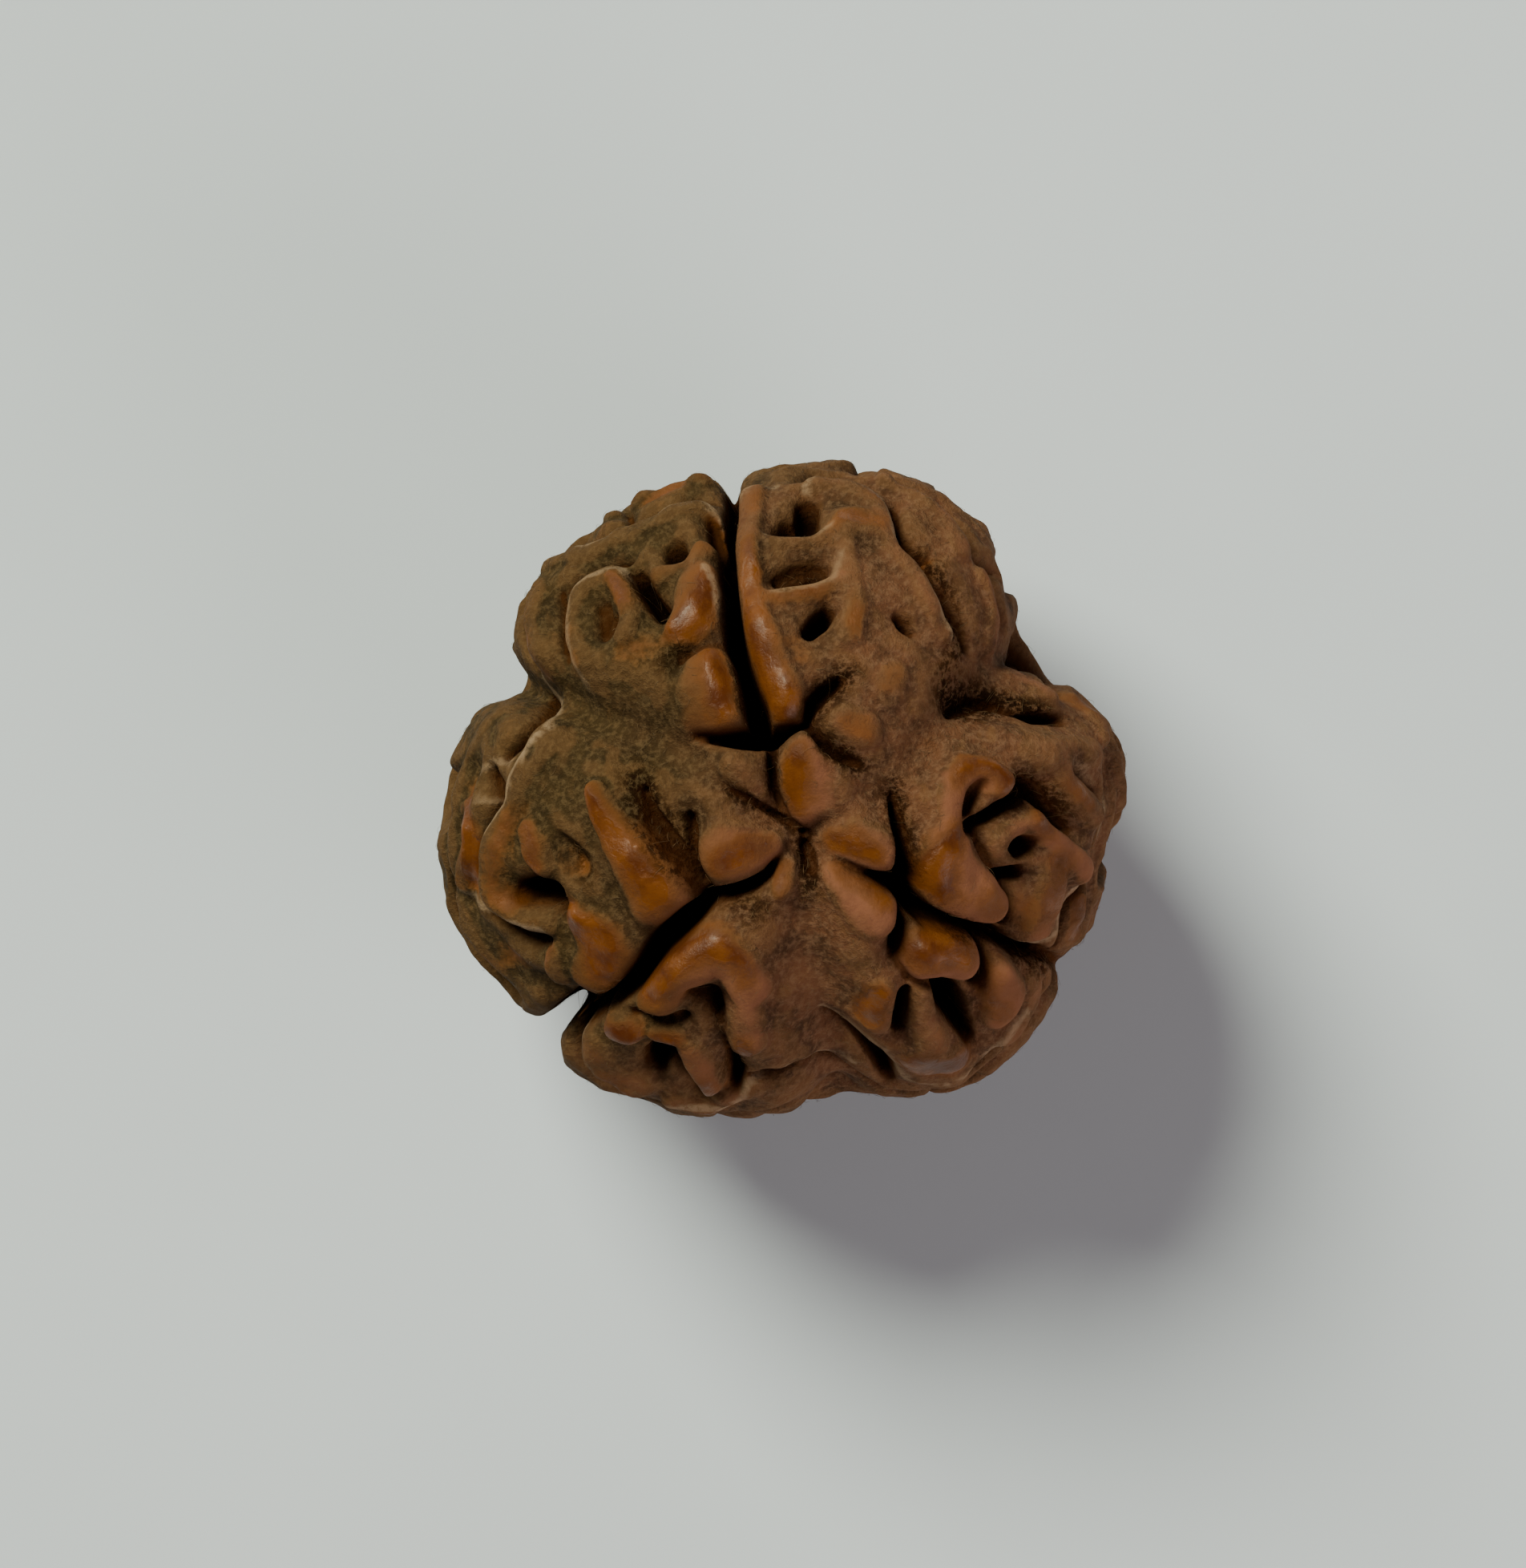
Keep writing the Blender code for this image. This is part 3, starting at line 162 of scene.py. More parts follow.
# Cuts: depth, radius of the rounded lip, then (x, y, half width) along the cut
CUTS = {
    # the three clefts that part the faces, and the cracks that meet at the mouth
    "upper cleft": (2.8, 0.28, [(-1.68, 9.3, 0.26), (-1.75, 8.6, 0.24), (-1.84, 7.8, 0.22),
        (-1.84, 7.1, 0.28), (-1.74, 6.2, 0.26), (-1.68, 5.4, 0.32), (-1.62, 4.8, 0.36),
        (-1.36, 4.1, 0.28), (-1.12, 3.3, 0.32), (-0.95, 2.7, 0.4), (-0.85, 2.2, 0.42)]),
    "upper cleft exit": (1.0, 0.3, [(-1.68, 9.3, 0.26), (-1.72, 10.0, 0.3), (-1.85, 11.5, 0.3)]),
    "crossing": (2.2, 0.25, [(-2.9, 1.85, 0.1), (-2.2, 1.75, 0.2), (-1.5, 1.75, 0.34), (-0.9, 1.8, 0.42),
        (-0.35, 1.8, 0.3), (0.1, 2.0, 0.16), (0.55, 2.25, 0.14)]),
    "middle channel": (0.8, 0.2, [(-0.45, 1.4, 0.2), (-0.45, 0.9, 0.16), (-0.42, 0.3, 0.15),
        (-0.2, -0.3, 0.14), (0.1, -0.85, 0.12), (0.4, -1.1, 0.12)]),
    "left mouth crack": (1.0, 0.16, [(0.35, -1.1, 0.12), (-0.15, -0.85, 0.15), (-0.6, -0.55, 0.15),
        (-1.1, -0.25, 0.12), (-1.7, 0.1, 0.1), (-2.2, 0.4, 0.06)]),
    "lower mouth crack": (0.2, 0.3, [(0.66, -1.7, 0.18), (0.76, -2.1, 0.24), (0.84, -2.5, 0.2)]),
    "mouth hole": (1.5, 0.15, [(0.45, -1.15, 0.1), (0.6, -1.3, 0.16)]),
    "left cleft": (2.6, 0.28, [(-0.35, -2.2, 0.1), (-0.58, -2.62, 0.18), (-1.1, -2.95, 0.24),
        (-1.8, -3.15, 0.26), (-2.4, -3.35, 0.3), (-2.9, -3.75, 0.38), (-3.45, -4.25, 0.42),
        (-3.95, -4.75, 0.4), (-4.35, -5.35, 0.34), (-4.8, -5.95, 0.32), (-5.4, -6.4, 0.28),
        (-6.2, -6.4, 0.28)]),
    "root of the left cleft": (1.3, 0.12, [(0.5, -1.25, 0.08), (0.1, -1.7, 0.09), (-0.4, -2.25, 0.1)]),
    "left cleft exit": (1.5, 0.25, [(-5.8, -6.4, 0.28), (-6.4, -6.45, 0.34), (-7.1, -7.05, 0.4),
        (-8.2, -8.2, 0.44)]),
    "right cleft": (2.6, 0.28, [(2.1, -2.34, 0.08), (2.7, -2.58, 0.16), (3.3, -2.8, 0.3),
        (3.7, -2.95, 0.38), (3.95, -3.45, 0.4), (4.4, -3.85, 0.34), (5.0, -4.0, 0.26), (5.7, -4.18, 0.24),
        (6.3, -4.32, 0.3), (6.8, -4.55, 0.24), (7.3, -4.95, 0.2), (8.1, -5.05, 0.2)]),
    "root of the right cleft": (1.3, 0.12, [(0.65, -1.25, 0.08), (1.4, -1.98, 0.09), (2.2, -2.38, 0.12)]),
    "right cleft exit": (0.7, 0.25, [(8.0, -5.0, 0.2), (8.8, -5.4, 0.22), (10.2, -6.25, 0.22)]),
    "right cleft riser": (1.9, 0.3, [(3.75, -2.6, 0.34), (3.68, -1.9, 0.28), (3.66, -1.3, 0.26),
        (3.62, -0.7, 0.2), (3.6, -0.1, 0.1)]),
    "right cleft faller": (1.4, 0.3, [(3.8, -3.2, 0.3), (3.62, -3.9, 0.24), (3.42, -4.6, 0.18),
        (3.38, -5.1, 0.1)]),
    "under the bean": (0.3, 0.2, [(3.42, -5.2, 0.1), (3.8, -5.75, 0.12), (4.5, -5.9, 0.14),
        (5.2, -5.98, 0.14)]),
    # upper left cheek
    "upper left pit": (1.9, 0.28, [(-3.5, 7.75, 0.34), (-3.4, 7.3, 0.38)]),
    "pocket by the cleft": (0.5, 0.35, [(-2.3, 8.5, 0.2), (-2.2, 8.1, 0.26), (-2.0, 7.8, 0.2)]),
    "slot by the ring": (1.7, 0.3, [(-4.65, 6.85, 0.26), (-4.4, 6.4, 0.26), (-4.15, 6.0, 0.28),
        (-3.85, 5.65, 0.3)]),
    "ring floor": (0.1, 0.3, [(-5.75, 5.85, 0.25), (-5.65, 5.1, 0.28)]),
    "ring pit": (0.8, 0.18, [(-5.36, 5.6, 0.1), (-5.28, 5.3, 0.16), (-5.34, 5.1, 0.12)]),
    "tooth gap": (0.1, 0.2, [(-1.95, 4.6, 0.12), (-2.5, 4.55, 0.1), (-3.2, 4.25, 0.2)]),
    "fold outside the upper left rim": (1.0, 0.3, [(-7.1, 7.4, 0.12), (-6.7, 7.75, 0.14),
        (-5.9, 7.95, 0.16), (-5.2, 8.35, 0.16), (-4.4, 8.65, 0.16), (-3.6, 9.0, 0.14), (-3.0, 9.3, 0.12),
        (-2.3, 9.2, 0.12)]),
    "notch between the outer lobes": (0.6, 0.25, [(-4.9, 8.6, 0.1), (-5.1, 9.2, 0.14),
        (-5.4, 10.5, 0.14)]),
    "fold over the ring": (0.5, 0.35, [(-6.8, 6.5, 0.1), (-6.0, 7.0, 0.12), (-5.4, 7.25, 0.12),
        (-4.9, 7.3, 0.1)]),
    "fold left of the ring": (0.45, 0.35, [(-7.1, 6.3, 0.1), (-7.1, 5.2, 0.12), (-6.9, 4.3, 0.1)]),
    "outer fold of the upper left": (0.7, 0.3, [(-8.0, 6.6, 0.1), (-8.25, 5.6, 0.14), (-8.2, 4.8, 0.14),
        (-7.95, 4.1, 0.14)]),
    # left cheek
    "fold behind the left rim": (0.5, 0.25, [(-7.95, 3.2, 0.2), (-7.85, 2.4, 0.22), (-8.2, 1.8, 0.22),
        (-8.75, 1.2, 0.2)]),
    "left side pit": (1.9, 0.3, [(-9.25, 0.6, 0.24), (-9.1, 0.15, 0.34), (-8.95, -0.1, 0.3),
        (-9.2, -0.6, 0.14)]),
    "left side slot": (0.5, 0.25, [(-9.2, -0.6, 0.12), (-9.5, -1.4, 0.18), (-9.7, -2.2, 0.18),
        (-9.75, -3.0, 0.18), (-9.35, -3.7, 0.2)]),
    "left hole": (2.4, 0.3, [(-8.3, -3.15, 0.4), (-7.7, -3.1, 0.52), (-7.25, -3.2, 0.42),
        (-6.95, -3.6, 0.28)]),
    "left slit": (1.9, 0.3, [(-9.3, -3.9, 0.2), (-8.5, -4.35, 0.28), (-7.9, -4.55, 0.28),
        (-7.4, -4.6, 0.16)]),
    "groove by the long crest": (0.3, 0.35, [(-4.5, 0.1, 0.14), (-4.2, -0.8, 0.28), (-3.7, -1.45, 0.28),
        (-3.2, -2.0, 0.24), (-2.8, -2.6, 0.24), (-2.6, -3.1, 0.28)]),
    "groove left of the mouth tooth": (0.3, 0.25, [(-3.05, -0.7, 0.14), (-2.95, -1.4, 0.18),
        (-2.85, -2.1, 0.18), (-2.6, -2.7, 0.2)]),
    # upper right cheek
    "first window": (0.8, 0.3, [(-0.15, 8.25, 0.26), (0.2, 8.55, 0.38), (0.62, 8.4, 0.42),
        (0.72, 9.1, 0.38)]),
    "second window": (0.4, 0.3, [(-0.15, 6.75, 0.3), (0.4, 6.92, 0.4), (0.95, 7.02, 0.38)]),
    "pit in the second window": (0.9, 0.2, [(0.65, 6.85, 0.14), (1.05, 6.95, 0.18)]),
    "third window": (2.4, 0.22, [(0.72, 5.1, 0.26), (1.03, 5.4, 0.34), (1.3, 5.7, 0.26)]),
    "groove round the tip": (0.55, 0.3, [(0.65, 2.3, 0.16), (0.85, 2.85, 0.26), (1.2, 3.2, 0.26),
        (1.7, 3.55, 0.16)]),
    "groove under the knob": (0.7, 0.28, [(0.7, 2.15, 0.12), (1.05, 1.75, 0.18), (1.4, 1.4, 0.22),
        (1.8, 1.15, 0.18), (2.3, 0.95, 0.1)]),
    "small pit": (0.7, 0.2, [(3.5, 5.5, 0.18), (3.7, 5.3, 0.26), (3.9, 5.1, 0.18)]),
    "side pit": (0.7, 0.3, [(3.75, 7.95, 0.26), (4.0, 7.7, 0.3), (4.4, 7.5, 0.2)]),
    "lower side pit": (1.2, 0.35, [(4.95, 6.4, 0.24), (5.2, 5.85, 0.34), (5.5, 5.3, 0.3),
        (5.7, 4.8, 0.2)]),
    "fold outside the upper right rim": (0.9, 0.3, [(3.45, 9.0, 0.12), (3.5, 8.4, 0.16), (3.9, 7.6, 0.16),
        (4.45, 7.05, 0.14), (4.75, 6.5, 0.14)]),
    "fold over the upper right rim": (0.8, 0.3, [(0.5, 9.75, 0.1), (0.9, 10.0, 0.12), (1.6, 10.0, 0.12),
        (2.3, 9.8, 0.12), (3.2, 9.4, 0.12)]),
    "outer fold of the upper right": (0.8, 0.3, [(5.0, 9.1, 0.1), (5.45, 8.5, 0.14), (5.8, 7.9, 0.16),
        (6.2, 7.4, 0.16), (6.6, 7.0, 0.12)]),
    # right cheek
    "hook hollow": (0.2, 0.25, [(6.0, 0.3, 0.18), (5.85, -0.1, 0.24), (5.65, -0.5, 0.2)]),
    "groove under the hook": (0.9, 0.28, [(7.3, 0.05, 0.28), (6.9, -0.35, 0.26), (6.4, -0.7, 0.26),
        (5.9, -0.98, 0.22), (5.6, -1.1, 0.14)]),
    "hairy groove": (0.9, 0.3, [(7.5, 0.3, 0.34), (7.9, 0.05, 0.38), (8.3, -0.42, 0.32),
        (8.7, -0.9, 0.26), (9.0, -1.2, 0.16)]),
    "upper lattice hole": (1.9, 0.18, [(7.2, -1.68, 0.32), (7.55, -1.58, 0.3)]),
    "lower lattice hole": (1.9, 0.18, [(7.25, -2.45, 0.28), (6.8, -2.62, 0.32)]),
    "groove behind the hook": (0.5, 0.2, [(5.95, -1.2, 0.14), (6.15, -1.75, 0.12), (6.35, -2.2, 0.12),
        (6.7, -2.7, 0.14)]),
    "groove under the lattice": (0.8, 0.25, [(6.9, -2.9, 0.16), (7.02, -3.4, 0.18), (6.9, -3.95, 0.22)]),
    "saddle groove": (0.15, 0.35, [(5.5, 2.7, 0.12), (6.0, 2.9, 0.22), (6.5, 3.05, 0.26),
        (7.0, 2.95, 0.2), (7.6, 2.6, 0.14)]),
    "right upper pit": (0.7, 0.3, [(7.8, 2.45, 0.2), (8.3, 2.4, 0.28), (8.8, 2.3, 0.2)]),
    "right slit": (0.8, 0.25, [(9.0, 0.75, 0.1), (9.4, 0.45, 0.16), (9.8, 0.15, 0.12)]),
    "lower right gap": (1.4, 0.3, [(9.4, -2.9, 0.18), (8.95, -3.5, 0.2), (8.7, -4.2, 0.2),
        (8.5, -4.8, 0.18)]),
    "right outer fold": (0.7, 0.3, [(10.0, 1.6, 0.1), (10.15, 0.6, 0.14), (10.1, -0.2, 0.14),
        (9.9, -1.0, 0.14), (9.7, -1.8, 0.14), (9.5, -2.6, 0.12)]),
    "fold by the saddle knob": (0.9, 0.3, [(7.3, 4.4, 0.12), (8.0, 4.15, 0.16), (8.4, 3.6, 0.16),
        (8.6, 3.1, 0.14)]),
    # lower right cheek
    "slit under the saddle": (1.2, 0.15, [(1.2, -7.3, 0.08), (2.0, -7.72, 0.18), (2.7, -8.15, 0.36),
        (3.1, -8.6, 0.4), (3.3, -9.1, 0.24)]),
    "left pit": (2.0, 0.22, [(3.75, -6.2, 0.2), (3.65, -6.8, 0.28), (3.5, -7.35, 0.2)]),
    "right pit": (2.3, 0.25, [(4.95, -6.05, 0.38), (5.2, -6.55, 0.48), (5.5, -7.15, 0.34),
        (5.85, -7.8, 0.2)]),
    "gap right of the bean": (1.3, 0.3, [(6.12, -4.6, 0.2), (6.18, -5.2, 0.14), (5.85, -5.8, 0.18)]),
    "lower right fold": (0.8, 0.3, [(8.1, -5.9, 0.1), (7.9, -6.7, 0.14), (7.3, -7.6, 0.14),
        (6.5, -8.1, 0.12), (6.0, -8.6, 0.12)]),
    # lower left cheek
    "arch hollow": (0.3, 0.34, [(-2.85, -6.15, 0.22), (-2.4, -6.3, 0.32), (-2.2, -6.7, 0.24),
        (-2.1, -7.1, 0.1)]),
    "gap under the arch foot": (0.6, 0.18, [(-4.7, -6.8, 0.14), (-3.9, -6.95, 0.1), (-3.1, -6.9, 0.12)]),
    "lower left pit": (2.0, 0.25, [(-3.75, -7.95, 0.4), (-4.1, -8.3, 0.45), (-4.2, -8.6, 0.36)]),
    "pit by the tongue": (1.2, 0.25, [(-1.72, -8.35, 0.2), (-1.58, -8.75, 0.3), (-1.6, -9.15, 0.2)]),
    "channel by the tongue": (0.35, 0.14, [(-2.02, -7.2, 0.08), (-1.95, -7.7, 0.1), (-1.82, -8.2, 0.12)]),
    "shade under the tongue": (1.1, 0.3, [(-3.45, -8.4, 0.18), (-3.05, -8.95, 0.18),
        (-2.65, -9.4, 0.14)]),
    "fold left of the cheek": (1.3, 0.3, [(-5.8, -6.8, 0.22), (-6.5, -7.2, 0.22), (-6.75, -7.9, 0.22),
        (-6.4, -8.5, 0.2), (-5.7, -9.0, 0.14)]),
    "lowest fold": (0.8, 0.3, [(-1.1, -8.95, 0.12), (-0.4, -8.85, 0.14), (0.3, -8.7, 0.14),
        (1.1, -8.7, 0.14), (2.0, -9.0, 0.14), (3.0, -9.3, 0.12)]),
}

# The same three clefts on the underside, and the lower mouth that they meet at
UNDER_CUTS = {
    "upper exit below": (1.0, 0.3, [(-1.85, 11.5, 0.3), (-1.75, 10.0, 0.28), (-1.6, 9.0, 0.24)]),
    "upper cleft below": (2.2, 0.35, [(-1.6, 9.0, 0.24), (-1.5, 7.0, 0.26), (-1.2, 4.5, 0.28),
        (-0.6, 1.6, 0.2)]),
    "left exit below": (1.5, 0.25, [(-8.2, -8.2, 0.44), (-7.2, -7.1, 0.36), (-6.4, -6.3, 0.3)]),
    "left cleft below": (2.2, 0.35, [(-6.4, -6.3, 0.28), (-5.2, -4.6, 0.28), (-3.0, -1.8, 0.28),
        (-0.6, 1.2, 0.2)]),
    "right exit below": (0.7, 0.25, [(10.2, -6.25, 0.22), (8.9, -5.5, 0.22), (8.0, -5.0, 0.22)]),
    "right cleft below": (2.2, 0.35, [(8.0, -5.0, 0.22), (6.2, -3.5, 0.28), (3.2, -1.4, 0.28),
        (-0.4, 1.2, 0.2)]),
    "lower mouth": (1.6, 0.5, [(-0.5, 1.2, 0.35)]),
}

# Worn feet that the bead rests on: height, then the middle and half width of each
FEET = {
    "front foot": (0.5, [(0.5, -2.6, 1.5)]),
    "right foot": (0.5, [(2.2, 2.2, 1.5)]),
    "left foot": (0.5, [(-2.6, 0.9, 1.5)]),
}

# Worm-like net of the sides and the underside, which no listed crest covers
NET_SEED = 3
NET_PITCH = 2.7  # crest to crest
NET_DEPTH = 1.25
NET_START, NET_FULL = 0.34, 0.0  # share of the half height where it begins and is full

# Uneven growth of the whole skin: crest to crest, height, seed
SWELLS = ((1.9, 0.05, 21), (0.75, 0.02, 22))
WAVES = 40  # plane waves in each random field

SHOULDER_DEPTH = 0.2  # soft fall of the ground towards a cut
SHOULDER_REACH = 0.7  # how far from the cut's edge it starts
FLAT_BOTTOM = 0.09  # half width of the flat floor of a cut
WALL_SLOPE = 14.0  # how steeply a cut falls inside its lip
BLEND_POWER = 3.0  # how softly neighbours run together


def skin_radius(ray):
    """Distance from the heart to the plain skin along unit rays."""
    azimuth = np.degrees(np.arctan2(ray[:, 1], ray[:, 0]))
    angles, radii = np.array(OUTLINE).T
    radii = radii * OUTLINE_SCALE
    offsets = np.linspace(-OUTLINE_BLUR, OUTLINE_BLUR, 5)
    outline = np.mean([np.interp(azimuth + o, angles, radii, period=360) for o in offsets], axis=0)
    flat = np.hypot(ray[:, 0], ray[:, 1]) / outline
    tall = np.abs(ray[:, 2]) / HALF_HEIGHT
    return (flat**SKIN_POWER + tall**SKIN_POWER) ** (-1 / SKIN_POWER)


def lifted(path, side):
    """A plan path on the plain skin: side is 1 for the top and -1 for the underside."""
    path = np.array(path, float)
    reach = np.hypot(path[:, 0], path[:, 1])
    level = np.stack([path[:, 0], path[:, 1], np.zeros(len(path))], axis=1)
    rim = skin_radius(level / np.maximum(reach, 1e-9)[:, None])
    share = np.clip(reach / rim, 0, 0.9999)
    height = HALF_HEIGHT * (1 - share**SKIN_POWER) ** (1 / SKIN_POWER)
    inwards = np.minimum(1, rim / np.maximum(reach, 1e-9))
    return np.stack([path[:, 0] * inwards, path[:, 1] * inwards, side * height], axis=1), path[:, 2]


def reach_beyond(points, path, side=1):
    """Distance from each point to a path, and the same less the path's half width there."""
    places, widths = lifted(path, side)
    if len(places) == 1:
        places, widths = np.repeat(places, 2, axis=0), np.repeat(widths, 2)
    least = np.full(len(points), np.inf)
    share = np.full(len(points), np.inf)
    for a, b, wide_a, wide_b in zip(places[:-1], places[1:], widths[:-1], widths[1:]):
        along = b - a
        t = np.clip((points - a) @ along / max(along @ along, 1e-9), 0, 1)
        apart = np.maximum(np.linalg.norm(points - a - t[:, None] * along, axis=1), FLAT_BOTTOM)
        wide = wide_a + t * (wide_b - wide_a)
        least = np.minimum(least, apart - wide)
        share = np.minimum(share, apart / wide)
    return least, share


def crest(share):
    """Rounded bar: 1 on the line, 0 from one half width away on."""
    return (1 - np.clip(share, 0, 1) ** 4) ** 1.5


def slope(share):
    """Soft hollow: 1 on the line, 0 from one half width away on."""
    return np.cos(np.clip(share, 0, 1) * math.pi / 2) ** 2


def drop(beyond, depth, lip):
    """How far a cut falls: a soft shoulder, a quarter-round lip, then a steep wall that levels off."""
    shoulder = SHOULDER_DEPTH * slope(beyond / SHOULDER_REACH)
    arc = np.clip(lip - beyond, 0, lip)
    rounded = lip - np.sqrt(lip**2 - arc**2)
    wall = depth * (1 - np.exp(np.minimum(beyond, 0) * WALL_SLOPE / depth))
    return shoulder + rounded + wall


def waves(points, pitch, seed):
    """Worm-like field of random plane waves of one pitch, above 0 on its crests and below it between."""
    rng = np.random.default_rng(seed)
    way = rng.normal(size=(WAVES, 3))
    way *= 2 * math.pi / pitch / np.linalg.norm(way, axis=1)[:, None]
    phase = rng.uniform(0, 2 * math.pi, WAVES)
    return np.cos(points @ way.T + phase).sum(axis=1) * math.sqrt(2 / WAVES)


def smooth_step(x, start, end):
    t = np.clip((x - start) / (end - start), 0, 1)
    return t * t * (3 - 2 * t)


def strokes(points, paths, side, height):
    """The heights or depths that a table's strokes give the points, one row for each stroke."""
    return np.array([height(*reach_beyond(points, path, side), *sizes) for *sizes, path in paths.values()])


def blended(rows):
    """Rows of heights run together as if by one soft hand."""
    return (rows**BLEND_POWER).sum(axis=0) ** (1 / BLEND_POWER)


def raised(points):
    """How far the crests and the feet stand over the plain skin."""
    def bar(beyond, share, top):
        return top * crest(share)
    return blended(np.concatenate([strokes(points, CRESTS, 1, bar), strokes(points, FEET, -1, bar)]))


def fallen(points):
    """How far the cuts, and on the hidden sides the net, go into the skin."""
    def cut(beyond, share, depth, lip):
        return drop(beyond, depth, lip)
    rows = np.concatenate([strokes(points, CUTS, 1, cut), strokes(points, UNDER_CUTS, -1, cut)])
    feet = strokes(points, FEET, -1, lambda beyond, share, top: crest(share)).max(axis=0)
    hidden = smooth_step(points[:, 2] / HALF_HEIGHT, NET_START, NET_FULL)
    hollow = smooth_step(-waves(points, NET_PITCH, NET_SEED), -0.35, 1.1)
    return blended(np.concatenate([rows, (NET_DEPTH * hollow * hidden * (1 - feet))[None]]))


def relief(points):
    """Height of the finished skin over the plain one at points of the plain skin."""
    valleys = strokes(points, VALLEYS, 1, lambda beyond, share, depth: depth * slope(share)).sum(axis=0)
    swell = sum(height * waves(points, pitch, seed) for pitch, height, seed in SWELLS)
    return swell - valleys + raised(points) - fallen(points)


# The fine bead
FINE_FACE = 0.1  # side of the even faces that the skin is rebuilt from
FINE_TRIANGLES = 195000
HIGH_PASSES = 14  # softening passes that a ridge is told from its surroundings by
STAIN_PASSES = 4  # the same, for the edges of the polished and the shaggy places

